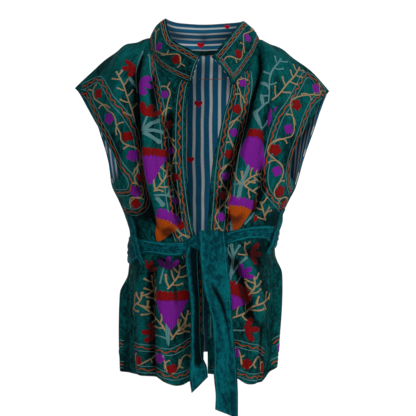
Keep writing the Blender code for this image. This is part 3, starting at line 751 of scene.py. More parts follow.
def new_finish(name, group, sizes, shader_values):
    """A material with a group of effects placed on the flat cut, and plain values on its shader."""
    finish = bpy.data.materials.new(name)
    finish.use_nodes = True
    tree = finish.node_tree
    shader = fitted(tree, tree.nodes["Principled BSDF"], shader_values)
    place = add_node(tree, "ShaderNodeUVMap", uv_map="cut")
    effect = tree.nodes.new("ShaderNodeGroup")
    effect.node_tree = group
    return finish, tree, shader, place, fitted(tree, effect, {"Place": place, **sizes}).outputs


def coloured(tree, shader, colour, dark, painted_shade_depth, high, strength, rough, bump):
    """The shader's colour, darkened by painted shade in the folds' hollows and lifted by a painted highlight
    on their ridges, and its surface.
    """
    fold = tree.nodes.new("ShaderNodeGroup")
    fold.node_tree = PAINTED_FOLD_SHADE
    lie = add_node(tree, "ShaderNodeUVMap", uv_map="lie")
    fitted(tree, fold, {"Lie": lie, "Strength": strength})
    # Painted shade: a darker copy of the colour in the hollows; painted highlight: a lighter colour on the
    # ridges.
    painted_shade_colour = tuple(channel * painted_shade_depth for channel in dark[:3]) + (1.0,)
    colour = mixed(tree, fold.outputs["Hollow"], colour, painted_shade_colour)
    colour = mixed(tree, fold.outputs["Ridge"], colour, high)
    height, bump_strength, distance = bump
    inputs = {"Height": height, "Strength": bump_strength, "Distance": distance}
    fitted(
        tree,
        shader,
        {
            "Base Color": colour,
            "Roughness": maths(tree, "MULTIPLY_ADD", *rough),
            "Normal": add_node(tree, "ShaderNodeBump", inputs),
        },
    )


def velvet_finish(name, dark, middle, light, sheen_tint, nap):
    """Velvet: brushed patches lighter and darker, a napped bump, a sheen at grazing angles, painted shade in
    the folds' hollows and painted highlight on their ridges.
    """
    sheen = {"Sheen Weight": 0.06, "Sheen Roughness": 0.35, "Sheen Tint": sheen_tint}
    finish, tree, shader, _, pile = new_finish(name, PILE, {}, {"Specular IOR Level": 0.06, **sheen})
    colour = mixed(tree, pile["Brushed"], middle, light)
    colour = mixed(tree, maths(tree, "MULTIPLY", pile["Nap"], nap), colour, dark)
    rough = pile["Brushed"], -0.12, 0.88
    # Painted shade in the folds' hollows and painted highlight on their ridges.
    coloured(tree, shader, colour, dark, 0.25, light, 1.0, rough, (pile["Height"], 0.8, 0.0022))
    return finish


def lining_finish(name, ground, dark, stripe, run, pitch, width):
    """Blue cotton with off-white stripes and painted shade in the folds' hollows; run picks the flat
    direction that the stripes step along.
    """
    values = {"Specular IOR Level": 0.3, "Sheen Weight": 0.08}
    finish, tree, shader, place, weave = new_finish(name, WEAVE, {}, values)
    slub = weave["Slub"]
    wave = uneven(tree, place, 9.0, 9.0, Detail=1.0)
    step = maths(tree, "DIVIDE", apart(tree, place)[run], pitch)
    step = maths(tree, "ADD", step, maths(tree, "MULTIPLY", wave, 0.7))
    phase = maths(tree, "FRACT", maths(tree, "ADD", step, 0.2))
    far = maths(tree, "ABSOLUTE", maths(tree, "SUBTRACT", phase, 0.5))
    striped = ramp(tree, far, width / 2 + 0.035, width / 2 - 0.035)
    worn = mixed(tree, maths(tree, "MULTIPLY", slub, 0.35), stripe, ground)
    colour = mixed(tree, striped, mixed(tree, slub, dark, ground), worn)
    rough = slub, 0.15, 0.75
    # Painted shade in the folds' hollows.
    coloured(tree, shader, colour, dark, 0.2, colour, 0.9, rough, (weave["Height"], 0.25, 0.0004))
    return finish


def thread_finish(name, dark, light, stitch=3.4):
    """Embroidery thread in chain stitch, with painted shade in the stitches' grooves and the folds' hollows
    and painted highlight on the loops and the folds' ridges.
    """
    values = {"Specular IOR Level": 0.08, "Sheen Weight": 0.04}
    finish, tree, shader, _, chain = new_finish(name, CHAIN, {"Stitch": stitch}, values)
    colour = mixed(tree, chain["Shade"], dark, light)
    rough = chain["Shade"], -0.15, 0.72
    # Painted shade in the folds' hollows and painted highlight on their ridges.
    coloured(tree, shader, colour, dark, 0.25, light, 0.85, rough, (chain["Height"], 0.7, 0.0007))
    return finish


def rgb(red, green, blue):
    """A colour picked on a screen, 0 to 255, as the shader's own values."""
    return tuple((channel / 255) ** 2.2 for channel in (red, green, blue)) + (1.0,)


VELVET_FINISH = velvet_finish(
    "teal_velvet", rgb(0, 16, 20), rgb(0, 50, 52), rgb(0, 104, 104), rgb(0, 118, 116), nap=0.8
)
BELT_FINISH = velvet_finish(
    "belt_velvet", rgb(0, 32, 40), rgb(0, 64, 74), rgb(0, 112, 120), rgb(0, 130, 136), nap=0.42
)
LINING_FINISH = lining_finish(
    "striped_lining", rgb(0, 126, 164), rgb(0, 84, 124), rgb(255, 255, 250), 0, pitch=0.0178, width=0.34
)
LINING_BLUES = rgb(0, 118, 156), rgb(0, 82, 122), rgb(240, 244, 236)
COLLAR_LINING_FINISH = lining_finish("striped_collar_lining", *LINING_BLUES, 1, pitch=0.0136, width=0.3)
FRONT_LINING_FINISH = lining_finish("front_lining", *LINING_BLUES, 0, pitch=0.0178, width=0.38)
THREADS = [
    thread_finish("red_thread", rgb(44, 0, 4), rgb(132, 0, 10)),
    thread_finish("purple_thread", rgb(50, 6, 70), rgb(124, 28, 148)),
    thread_finish("orange_thread", rgb(92, 36, 0), rgb(180, 76, 0)),
    thread_finish("beige_thread", rgb(84, 68, 44), rgb(166, 140, 104)),
    thread_finish("mist_thread", rgb(36, 74, 80), rgb(92, 136, 138)),
    thread_finish("sewing_thread", rgb(0, 84, 90), rgb(10, 134, 138), stitch=3.0),
    thread_finish("heart_thread", rgb(140, 0, 20), rgb(236, 14, 46)),
]
RED, PURPLE, ORANGE, BEIGE, MIST, SEWING, BRIGHT_RED = range(len(THREADS))


# ---- the cloth pieces ----


def dressed(piece, node):
    """The piece stands for its solid, which is hidden."""
    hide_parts(node)
    return piece


FRONT_GRIDS = {}
for node, panel in (("right_front", RIGHT_FRONT), ("left_front", LEFT_FRONT)):
    grid, cut = front_grid(panel)
    piece = shell(node + "_velvet", grid, cut, VELVET, [VELVET_FINISH, FRONT_LINING_FINISH])
    dressed(piece, node)
    FRONT_GRIDS[node] = grid

outer_back, back_cut = back_grid()
back = shell("back_velvet", outer_back, back_cut, VELVET, [VELVET_FINISH] * 2, contrast=0.5)
dressed(back, "back")

# The back's lining starts below the shoulder seam, and below the waist it is darkened with painted shade.
lining_grid = outer_back[LINING_FIRST_ROW:]
lining_grid = lining_grid - sheet_normals(lining_grid) * LINING_GAP
down_lining = np.arange(len(lining_grid)) / len(lining_grid)
painted_shade_below_waist = 0.4 * ease((down_lining - LINING_WAIST) / 0.05)[:, None]
lining = shell(
    "back_lining_cotton", lining_grid, back_cut[LINING_FIRST_ROW:], LINING, [LINING_FINISH] * 2,
    outwards=False, shade=painted_shade_below_waist,
)
dressed(lining, "back_lining")


def collar_between(along, up):
    """The collar pulled straight between the neck seam (0) and its free edge (1)."""
    seam = neck_seam(along)
    edge = np.moveaxis(followed(COLLAR_EDGE, ("across", "fore", "height"), along, "along"), 0, -1)
    return seam * (1 - up[..., None]) + edge * up[..., None]


def collar_points(along, up):
    """The collar rounded outwards."""
    right, left = np.clip(along + 0.004, 0, 1), np.clip(along - 0.004, 0, 1)
    above, below = np.clip(up + 0.02, 0, 1), np.clip(up - 0.02, 0, 1)
    over = collar_between(right, up) - collar_between(left, up)
    rise = collar_between(along, above) - collar_between(along, below)
    crown = COLLAR_ROUNDING * 4 * up * (1 - up)
    return collar_between(along, up) + unit(np.cross(rise, over)) * crown[..., None]


along, up = np.meshgrid(np.linspace(0, 1, COLLAR_COLUMNS), np.linspace(1, 0, COLLAR_ROWS))
collar_grid = collar_points(along, up)[:, ::-1]
collar_cut = np.stack([along * COLLAR_LENGTH, up * COLLAR_HEIGHT], axis=-1)[:, ::-1]
collar = shell("collar_velvet", collar_grid, collar_cut, VELVET, [VELVET_FINISH] * 2)
dressed(collar, "collar")
collar_inside = collar_grid - sheet_normals(collar_grid) * LINING_GAP
collar_lining = shell(
    "collar_lining_cotton", collar_inside, collar_cut, LINING, [COLLAR_LINING_FINISH] * 2, outwards=False
)
dressed(collar_lining, "collar_lining")


def belt_grid(panel, line, end=1.0):
    """A stretch of belt with the creases along it."""
    rise, share = np.meshgrid(
        np.linspace(0.5, -0.5, BELT_ROWS), np.linspace(0, end, BELT_COLUMNS), indexing="ij"
    )
    middle, width, swell = followed(line, ("station", "width", "swell"), share, "share")
    lift = BELT_SEAT + swell * (1 - 4 * rise * rise)
    for start, finish, depth, breadth in zip(*BELT_CREASES.values()):
        path = start + (finish - start) * share
        lift -= depth * (0.62 + 0.38 * np.sin(share * 11 + start * 20)) * hump(rise, path, breadth)
    return panel.point(share, middle - rise * width / STATION_LENGTH, lift)


def strip_cut(grid):
    """Flat places on a strip: along its columns and down its rows."""
    across = np.linalg.norm(np.diff(grid, axis=1), axis=-1).mean(axis=0)
    down = np.linalg.norm(np.diff(grid, axis=0), axis=-1).mean(axis=1)
    u, v = np.meshgrid(np.concatenate([[0], np.cumsum(across)]), np.concatenate([[0], np.cumsum(down)]))
    return np.stack([u, v], axis=-1)


def belt_piece(name, node, grid, wall, held="gathered", shade=0.0):
    """A piece of the belt; where its length runs across the grid, so does the brushed pile."""
    cut = strip_cut(grid)
    if held == "gathered":
        cut = cut[..., ::-1]
    piece = shell(name, grid, cut, wall, [BELT_FINISH] * 2, shade=shade)
    dressed(piece, node)


def table_curve(rows, names, count):
    """The named columns of a table, followed smoothly from row to row."""
    knots = np.arange(len(rows[names[0]]), dtype=float)
    return followed(dict(rows, row=knots), names, np.linspace(0, knots[-1], count), "row")


def tail_grid(rows, left, right, size, bow):
    """A tail between the edges that a table's columns give; bow(down, across) moves it forwards."""
    left, right = (table_curve(rows, names, size[0]).T[:, None] for names in (left, right))
    v, u = np.meshgrid(*(np.linspace(0, 1, count) for count in size), indexing="ij")
    grid = left * (1 - u[..., None]) + right * u[..., None]
    grid[..., 1] -= bow(v, u)
    return grid


def knot_grid():
    """The knot's fold, swelling in the middle, with two creases along it."""
    across, fore, top, bottom = table_curve(KNOT, ("across", "fore", "top", "bottom"), KNOT_COLUMNS)
    v, u = np.meshgrid(np.linspace(0, 1, KNOT_ROWS), np.linspace(0, 1, KNOT_COLUMNS), indexing="ij")
    crease = 0.7 * hump(v, 0.3 + 0.3 * u, 0.07) + 0.5 * hump(v, 0.75, 0.08)
    swell = 1.4 * np.sin(np.pi * v) * np.sin(np.pi * u) - crease
    return np.stack([np.broadcast_to(across, v.shape), fore - swell, top * (1 - v) + bottom * v], axis=-1)


def long_tail_bow(down, across):
    """The tail's long slanting crease and the soft hollows beside it."""
    crease_at = 0.12 + (down - 0.55) * 2.1
    there = ease((down - 0.5) / 0.08) * ease((0.84 - down) / 0.1)
    crease = (3.2 * hump(across, crease_at, 0.16) - 2.2 * hump(across, crease_at + 0.3, 0.17)) * there
    wave = 0.9 * (hump(across, 0.88, 0.1) + np.sin(down * 17 + across * 2.5))
    return crease + wave * ease((down - 0.45) / 0.2)


def short_tail_bow(down, across):
    """One fold down the tail, and a slow wave."""
    return (1.6 * hump(across, 0.3, 0.13) + 0.8 * np.sin(down * 13 + across * 3)) * ease(down / 0.2)


def loop_grid(panel, rows):
    """A strap over the belt, its two long edges at the table's shares of the panel."""
    names = ("station", "seam_share", "edge_share", "lift")
    station, seam_share, edge_share, lift = table_curve(rows, names, LOOP_ROWS)[..., None]
    across = np.linspace(0, 1, LOOP_COLUMNS)[None, :]
    share = seam_share * (1 - across) + edge_share * across
    return panel.point(share, station, lift + 0.8 * (1 - (2 * across - 1) ** 2))


back_left = belt_grid(LEFT_BACK, BELT_ON_LEFT_BACK)
back_right = belt_grid(RIGHT_BACK, BELT_ON_RIGHT_BACK)
belt_back = trimmed(np.concatenate([back_left, back_right[:, -2::-1]], axis=1), 1, 0, -1)
belt_right = trimmed(belt_grid(RIGHT_FRONT, BELT_ON_RIGHT_FRONT), 1, 0)
belt_left = trimmed(belt_grid(LEFT_FRONT, BELT_ON_LEFT_FRONT, LEFT_BELT_END), 1, 0)[:, ::-1]
long_tail = tail_grid(
    LONG_TAIL,
    ("left", "fore", "left_height"),
    ("right", "fore", "right_height"),
    (LONG_TAIL_ROWS, LONG_TAIL_COLUMNS),
    long_tail_bow,
)
short_tail = tail_grid(
    SHORT_TAIL,
    ("left", "left_fore", "left_height"),
    ("right", "right_fore", "right_height"),
    (SHORT_TAIL_ROWS, SHORT_TAIL_COLUMNS),
    short_tail_bow,
)
# Painted shadow of the long tail on the short one.
up_tail = ease((0.84 - np.linspace(0, 1, SHORT_TAIL_ROWS)) / 0.12)[:, None]
painted_tail_shadow = 0.34 * up_tail * ease((np.linspace(0, 1, SHORT_TAIL_COLUMNS) - 0.22) / 0.1)
right_loop = loop_grid(RIGHT_FRONT, RIGHT_LOOP)
left_loop = loop_grid(LEFT_FRONT, LEFT_LOOP)[:, ::-1]

belt_piece("belt_round_the_back", "belt_back", belt_back, BELT_CLOTH)
belt_piece("belt_over_right_front", "belt_right_front", belt_right, BELT_CLOTH)
belt_piece("belt_over_left_front", "belt_left_front", belt_left, BELT_CLOTH)
belt_piece("belt_knot_fold", "belt_knot", knot_grid(), KNOT_CLOTH)
belt_piece("belt_tail_long", "belt_long_tail", long_tail, BELT_CLOTH, "hung")
belt_piece("belt_tail_short", "belt_short_tail", short_tail, BELT_CLOTH, "hung", painted_tail_shadow)
belt_piece("belt_loop_on_right", "belt_loop_right", right_loop, VELVET, "stretched")
belt_piece("belt_loop_on_left", "belt_loop_left", left_loop, VELVET, "stretched")


# ---- needlework ----


class Cloth:
    """A shell's grid, read between its points, so that stitches sit on the cloth itself."""

    def __init__(self, points, wall, turned_over):
        self.points, self.wall = points, wall
        self.normals = -sheet_normals(points) if turned_over else sheet_normals(points)
        self.lie = relief(points, self.normals)

    def under(self, places):
        """The cloth's face, its outward normal and its relief at places on the flat cut."""
        row, column = self.cells(places)
        row = np.clip(row, 0, self.points.shape[0] - 1.001)
        column = np.clip(column, 0, self.points.shape[1] - 1.001)
        points, normals, lie = (read(grid, row, column) for grid in (self.points, self.normals, self.lie))
        return points + normals * self.wall, normals, lie


class PanelCloth(Cloth):
    """A panel read by its flat cut: inset from the inner edge (mm) and station."""

    scale = np.array([1.0, STATION_LENGTH])

    def __init__(self, panel, points, turned_over, wall=VELVET):
        super().__init__(points, wall, turned_over)
        self.panel = panel
        self.rows = stations(BACK_ROWS if panel.inner is CENTRE_BACK else FRONT_ROWS)

    def cells(self, places):
        inset, station = places.T
        row = np.interp(station, self.rows, np.arange(len(self.rows)))
        return row, self.panel.share(inset, station) * (self.points.shape[1] - 1)

    def steps(self, places):
        """How the unfolded cloth moves for a millimetre of inset and for a station."""
        station = np.clip(places[:, 1], 0, HEM - 1)
        inset = np.clip(places[:, 0], 3.0, self.panel.width(station) - 3.0)
        here, over, down = (
            self.panel.base(self.panel.share(i, s), s)
            for i, s in ((inset, station), (inset + 2, station), (inset, station + 1))
        )
        return (over - here) / 2, down - here


class StripCloth(Cloth):
    """A strip read by millimetres along its columns and down its rows."""

    scale = np.array([1.0, 1.0])

    def __init__(self, points, wall, turned_over=False, size=None):
        super().__init__(points, wall, turned_over)
        cut = strip_cut(points)
        self.columns, self.rows = cut[0, :, 0], cut[:, 0, 1]
        if size:
            self.columns, self.rows = (np.linspace(0, size[k], points.shape[1 - k]) for k in (0, 1))

    def cells(self, places):
        along, up = places.T
        column = np.interp(along, self.columns, np.arange(len(self.columns)))
        return np.interp(up, self.rows, np.arange(len(self.rows))), column

    def steps(self, places):
        places = np.clip(places, 4, [self.columns[-1] - 4, self.rows[-1] - 4])
        return tuple(
            (self.under(places + aside)[0] - self.under(places - aside)[0]) / 4
            for aside in (np.array([2, 0]), np.array([0, 2]))
        )


def smooth_path(points, step):
    """A rounded curve through the points, cut into even steps."""
    points = np.asarray(points, float)
    if len(points) > 2:
        ends = np.concatenate([[2 * points[0] - points[1]], points, [2 * points[-1] - points[-2]]])
        t = np.linspace(0, 1, 9)[:-1, None]
        pieces = []
        for a, b, c, d in zip(ends[:-3], ends[1:-2], ends[2:-1], ends[3:]):
            bend = (2 * a - 5 * b + 4 * c - d) * t**2 + (3 * b - a - 3 * c + d) * t**3
            pieces.append(0.5 * (2 * b + (c - a) * t + bend))
        points = np.concatenate(pieces + [points[-1:]])
    lengths = run_length(points)
    at = np.linspace(0, lengths[-1], max(3, int(np.ceil(lengths[-1] / step)) + 1))
    return np.stack([np.interp(at, lengths, axis) for axis in points.T], axis=-1)


def turned(points, degrees):
    """Drawn points turned about their anchor."""
    cos, sin = np.cos(np.radians(degrees)), np.sin(np.radians(degrees))
    return np.asarray(points, float) @ np.array([[cos, sin], [-sin, cos]])


def oval(count, across=1.0, down=1.0):
    """Points round an oval."""
    around = np.linspace(0, 2 * np.pi, count + 1)[:-1]
    return np.stack([np.cos(around) * across, np.sin(around) * down], axis=-1)


def scallops(count, at):
    """0 to 1 and back, so many times while at runs from 0 to 1."""
    return np.abs(np.sin(count * np.pi * at))


# A stroke's places across and their rise, a fill's rings in from its edge, and the seat under both.
STROKE_ACROSS = np.array([-1.0, -0.62, 0.0, 0.62, 1.0])
STROKE_RISE = np.array([0.0, 0.8, 1.0, 0.8, 0.0])
FILL_EDGE = ((1.0, 0.0), (0.95, 0.65), (0.86, 1.0))
SEAT = 0.12

# The width of one row of chain stitches, and the least that a stroke and its height keep at its ends.
STITCH_ROW = 2.6
END_WIDTH, END_HEIGHT = 0.06, 0.25

FLOWER_THREADS = {"R": RED, "P": PURPLE}

# The breadth of a large flower's cup down its sides.
FAN = ((0, 1.0), (0.2, 0.8), (0.45, 0.58), (0.75, 0.34), (1, 0.08))
BELL = ((0, 0.66), (0.3, 0.86), (0.6, 1.0), (0.85, 0.9), (1, 0.62))


class Needlework:
    """Stitched strokes and filled shapes on a cloth, gathered into one mesh."""

    def __init__(self, cloth):
        self.cloth = cloth
        self.points, self.lies, self.places, self.faces, self.slots = [], [], [], [], []
        self.count = 0

    def add(self, places, lifts, drawn, thread, *face_sets):
        """Points lifted off places on the flat cut, their stitch pattern, and faces that look outwards."""
        points, facing, lie = self.cloth.under(places)
        points = points + facing * (SEAT + lifts)[:, None]
        for faces in face_sets:
            corners = points[faces]
            normals = np.cross(corners[:, 2] - corners[:, 0], corners[:, -1] - corners[:, 1])
            outwards = np.sum(normals * facing[faces[:, 0]], axis=1) > 0
            self.faces += (np.where(outwards[:, None], faces, faces[:, ::-1]) + self.count).tolist()
            self.slots += [thread] * len(faces)
        self.points.append(points)
        self.lies.append(lie)
        self.places.append(drawn)
        self.count += len(points)

    def flat(self, anchor, points):
        """Places on the flat cut of points in mm about an anchor, x to the viewer's right and y down."""
        points = np.asarray(points, float)
        over, down = (way[0] for way in self.cloth.steps(np.array([anchor], float)))
        normal = unit(np.cross(over, down))
        sink = unit(normal * normal[2] - [0, 0, 1])
        aside = np.cross(sink, normal)
        moves = points[:, :1] * aside * np.sign(aside[0]) + points[:, 1:] * sink
        grid = np.array([[over @ over, over @ down], [over @ down, down @ down]])
        return np.asarray(anchor, float) + np.linalg.solve(grid, np.stack([moves @ over, moves @ down])).T

    def from_anchor(self, anchor, place):
        """Where a place on the flat cut lies when drawn in mm about an anchor."""
        start, right, below = self.flat(anchor, [[0, 0], [1, 0], [0, 1]])
        return np.linalg.solve(np.stack([right - start, below - start], axis=-1), place - start)

    def sideways(self, path):
        """For each place on a path, a millimetre to its side on the flat cut, and its length so far."""
        over, down = self.cloth.steps(path)
        way = np.gradient(path, axis=0)
        run = unit(over * way[:, :1] + down * way[:, 1:])
        side = np.cross(unit(np.cross(over, down)), run)
        oo, od, dd, so, sd = (
            np.sum(a * b, axis=1)
            for a, b in ((over, over), (over, down), (down, down), (side, over), (side, down))
        )
        offset = np.stack([so * dd - sd * od, sd * oo - so * od], axis=-1) / (oo * dd - od * od)[:, None]
        moves = over[1:] * np.diff(path[:, :1], axis=0) + down[1:] * np.diff(path[:, 1:], axis=0)
        return offset, np.concatenate([[0], np.cumsum(np.linalg.norm(moves, axis=1))])

    def stroke(self, path, width, thread, height=0.7):
        """A raised line along a path on the flat cut, with round ends."""
        offset, lengths = self.sideways(path)
        reach = np.minimum(np.minimum(lengths, lengths[-1] - lengths) / (width / 2.0), 1.0)
        round_end = np.sqrt(np.clip(1 - (1 - reach) ** 2, END_WIDTH, 1))[:, None]
        across = width / 2 * round_end * STROKE_ACROSS
        places = path[:, None] + offset[:, None] * across[..., None]
        lifts = height * np.clip(round_end, END_HEIGHT, 1) * STROKE_RISE
        u = (across / width + 0.5) * STITCH_ROW * max(1, round(width / 2.8))
        drawn = np.stack([u, np.broadcast_to(lengths[:, None], u.shape)], axis=-1)
        faces = grid_faces(*lifts.shape)
        self.add(places.reshape(-1, 2), lifts.ravel(), drawn.reshape(-1, 2), thread, faces)

    def fill(self, anchor, outline, thread, height=0.9, centre=None, grain=0.0):
        """A filled shape drawn about an anchor; grain turns its rows of stitches."""
        outline = np.asarray(outline, float)
        centre = outline.mean(axis=0) if centre is None else np.asarray(centre, float)
        size = np.linalg.norm(outline - centre, axis=1).max()
        inner = np.linspace(0.86, 0, max(2, int(size / 3.0)) + 1)[1:-1]
        rings = [*FILL_EDGE, *((scale, 1.0) for scale in inner)]
        drawn = np.concatenate([centre + (outline - centre) * scale for scale, _ in rings] + [centre[None]])
        count = len(outline)
        lifts = height * np.append(np.repeat([rise for _, rise in rings], count), 1.0)
        around = np.arange(count)
        after = np.roll(around, -1)
        band = np.stack([around, after, after + count, around + count], axis=1)
        quads = np.concatenate([band + ring * count for ring in range(len(rings) - 1)])
        last = (len(rings) - 1) * count
        tips = np.stack([around + last, after + last, np.full(count, len(drawn) - 1)], axis=1)
        grain = turned(drawn, grain) * 0.8 + 200.0
        self.add(self.flat(anchor, drawn), lifts, grain, thread, quads, tips)

    def piece(self, name, slot="velvet"):
        """The finished needlework as one piece."""
        points, places, lies = map(np.concatenate, (self.points, self.places, self.lies))
        make_piece(name, points, self.faces, places, self.slots, THREADS, lies)

    def run(self, places, step=1.6):
        """A rounded path through places on the flat cut."""
        return smooth_path(places * self.cloth.scale, step) / self.cloth.scale

    def border(self, places, gap=6.4, swing=1.9, wave=19.0):
        """Two mist lines with an orange zigzag between them."""
        path = self.run(places, 2.4)
        offset, _ = self.sideways(path)
        for line in (-gap, gap):
            self.stroke(path + offset * line, 1.7, MIST, 0.55)
        fine = self.run(places, 1.3)
        offset, lengths = self.sideways(fine)
        beat = lengths / wave + 0.3 * np.sin(lengths / 41) + 0.2 * np.sin(lengths / 17)
        aside = np.sin(2 * np.pi * beat) * swing * (0.8 + 0.3 * np.sin(lengths / 53))
        self.stroke(fine + offset * aside[:, None], 2.0, ORANGE, 0.6)

    def line(self, places, width, thread, height=0.6):
        """A rounded stroke."""
        self.stroke(self.run(places, 2.0), width, thread, height)

    def stem(self, places, width, thread=MIST, knob=1.4):
        """A stroke that ends in a round knob."""
        path = self.run(places)
        self.stroke(path, width, thread)
        radius = width / 2 * knob
        self.fill(path[-1], oval(10, radius, radius), thread, 0.8)

    def shoot(self, anchor, drawn, width, thread=BEIGE):
        """A short knobbed stem drawn in mm about its root."""
        self.stem(self.flat(anchor, smooth_path(drawn, 3.0)), width, thread, 1.5)

    def twig(self, places, pairs, reach, width, thread=BEIGE, lean=62):
        """A stem with knobbed side shoots, alternately to each side and shorter towards its tip."""
        stem = self.run(places)
        self.stem(places, width, thread, 1.5)
        for k in range(pairs * 2):
            t = 0.1 + 0.82 * k / (pairs * 2 - 1)
            i = int(t * (len(stem) - 1))
            way = unit(self.from_anchor(stem[i], stem[min(i + 2, len(stem) - 1)]))
            side = lean if k % 2 else -lean
            half = reach * (1 - 0.3 * t) * (1.0, 0.84, 0.93)[k % 3] / 2
            out = turned(way, side) * half
            self.shoot(stem[i], [(0, 0), out, out + turned(way, side * 0.74) * half], width * 0.92, thread)

    def blossom(self, anchor, radius, thread, petals=5, turn=0.0):
        """A small round flower with scalloped petals."""
        around = np.linspace(0, 2 * np.pi, 10 * petals + 1)[:-1]
        reach = radius * (0.72 + 0.28 * np.abs(np.cos(petals / 2 * around)) ** 0.7)
        outline = turned(oval(10 * petals) * reach[:, None], np.degrees(turn))
        self.fill(anchor, outline, thread, 1.0, grain=turn * 30)

    def petals(self, anchor, size, thread, angle, spread=46):
        """A flower of three broad petals fanned out from its foot."""
        middle = turned((size * 0.4, 0), angle)
        for k, lean in enumerate((angle - spread, angle, angle + spread)):
            petal = oval(24, size * 0.34, size * 0.17) + [size * 0.4, 0]
            petal[:, 1] *= 0.66 + 0.4 * (petal[:, 0] / size / 0.74)
            self.fill(anchor, turned(petal, lean) - middle, thread, 0.9 + 0.05 * k, grain=lean)
        foot = oval(24, size * 0.2, size * 0.16) + [size * 0.18, 0]
        self.fill(anchor, turned(foot, angle) - middle, thread, 1.05, grain=angle)

    def leaf(self, places, breadth, thread=MIST):
        """A pointed leaf along a spine."""
        anchor = np.asarray(places[len(places) // 2], float)
        spine = smooth_path([self.from_anchor(anchor, place) for place in places], 2.0)
        side = unit(np.gradient(spine, axis=0)) @ np.array([[0, 1], [-1, 0]])
        full = (np.sin(np.linspace(0.12, 0.94, len(spine)) * np.pi) ** 0.8)[:, None] * breadth / 2
        self.fill(anchor, np.concatenate([spine + side * full, (spine - side * full)[::-1]]), thread, 0.85)

    def tulip(self, anchor, width, cup, crown, angle, cup_thread, crown_thread, count=6, sides=FAN):
        """A large flower: a cup with a scalloped lip, and a scalloped crown above it."""
        t = np.linspace(0, 1, count * 6 + 1)
        across = t - 0.5
        lip = 2.8 * (across * 2) ** 2 - 4.2 * scallops(count, t) ** 0.8
        top = np.stack([across * width * sides[0][1], lip], axis=-1)
        down = np.linspace(0.04, 1, 20)
        foot = np.stack([width / 2 * np.interp(down, *zip(*sides)), down * cup], axis=-1)
        lobes = np.empty((0, 2))
        if sides is BELL:
            hang = np.linspace(1, -1, 25)[1:-1]
            droop = 4.5 * np.abs(np.sin(hang * np.pi * 1.5)) + 5 * (1 - hang**2)
            lobes = np.stack([hang * foot[-1, 0], cup + droop], axis=-1)
        outline = np.concatenate([top, foot, lobes, (foot * [-1, 1])[::-1]])
        dome = crown * 0.8 * np.clip(1 - (across * 2) ** 6, 0.02, 1) ** 0.5
        upper = np.stack([top[:, 0] * 1.04, -dome - 5.0 * scallops(count - 1, t) ** 0.8], axis=-1)
        crown_line = np.concatenate([upper, (top + [0, -0.2])[::-1]])
        for drawn, thread, height, middle in (
            (crown_line, crown_thread, 0.8, -crown * 0.42),
            (outline, cup_thread, 1.0, cup * 0.28),
        ):
            self.fill(anchor, turned(drawn, angle), thread, height, turned((0, middle), angle), angle)

    def vine(self, flowers, side=1, width=2.7, hug=14.0, fork=14.0):
        """A stem that winds past one flower after another, with knobbed shoots where it crosses over."""
        flowers = np.asarray(flowers, float)
        places, crossings = [flowers[0]], []
        for k, here in enumerate(flowers[1:], 1):
            back = self.from_anchor(here, flowers[k - 1])
            ahead = self.from_anchor(here, flowers[k + 1]) if k + 1 < len(flowers) else -back
            along = unit(unit(ahead) - unit(back))
            way = -unit(back)
            places.append(self.flat(here, [back * 0.5])[0])
            crossings.append((places[-1], way, np.array([-way[1], way[0]]) * side))
            for angle, reach in ((-52, 1.08), (-8, 1.0), (40, 1.08)):
                place = np.array([-along[1], along[0]]) * side * np.cos(np.radians(angle))
                place = place + along * np.sin(np.radians(angle))
                places.extend(self.flat(here, [place * hug * reach]))
            side = -side
        self.line(places, width, BEIGE)
        for k, (place, way, across) in enumerate(crossings):
            first, second = (fork, fork * 0.8) if k % 2 else (fork * 0.86, fork)
            ahead = [(0, 0), (across * 0.5 + way * 0.34) * first, (across + way) * 0.9 * first]
            behind = [(0, 0), -(across * 0.5 + way * 0.1) * second, (way * 0.1 - across * 1.02) * second]
            for drawn in (ahead, behind):
                self.shoot(place, drawn, width)

    def flowered_vine(self, places, threads, radius=11.6, side=1, hug=14.0):
        """A vine and its small flowers: R red, P purple and - for none at a place."""
        self.vine(places, side, hug=hug, fork=hug)
        for k, (place, thread) in enumerate(zip(places, threads)):
            if thread in FLOWER_THREADS:
                grown = radius * (0.94 if k % 2 else 1.04)
                self.blossom(place, grown, FLOWER_THREADS[thread], 5 - k % 2, 0.7 * k)


# ---- the embroidery, as inset mm and station on the flat cut ----

RIGHT_BORDERS = (
    [
        (322, 4.6), (292, 7.6), (242, 16), (217, 20.8), (184, 26), (155, 31.2), (130, 35.6),
        (116, 38.6), (124, 41.2), (146, 41.6), (170, 41.4),
    ],
    [
        (322, 2.8), (282, 5.2), (251, 7.6), (226, 10.8), (200, 14.8), (175, 19), (148, 22.8),
        (130, 25.6), (114, 28.6), (104, 32.2), (96, 36.4), (90, 40.6), (90, 44.4), (103, 47.2),
        (126, 47.8), (164, 46.8),
    ],
    [
        (118, 3.8), (98, 6), (72, 11), (56, 17.2), (48, 23.8), (43, 29.6), (40, 35), (39, 42),
        (36, 50), (33, 58), (30, 62),
    ],
    [
        (15, 1.6), (14, 9), (14, 17.4), (13.5, 24.4), (12.5, 31.6), (12, 38), (12, 43), (11, 49.6),
        (10.5, 55.4), (11, 64), (11, 76), (11, 88),
    ],
    [(176, 90.8), (150, 91), (128, 91.2), (102, 91), (79, 90.2), (60, 88.8), (36, 87.8), (11, 88.2)],
    [(176, 97.6), (150, 98), (123, 98), (100, 97.8), (78, 97.6), (61, 97.2), (42, 97.2), (5, 97.6)],
)
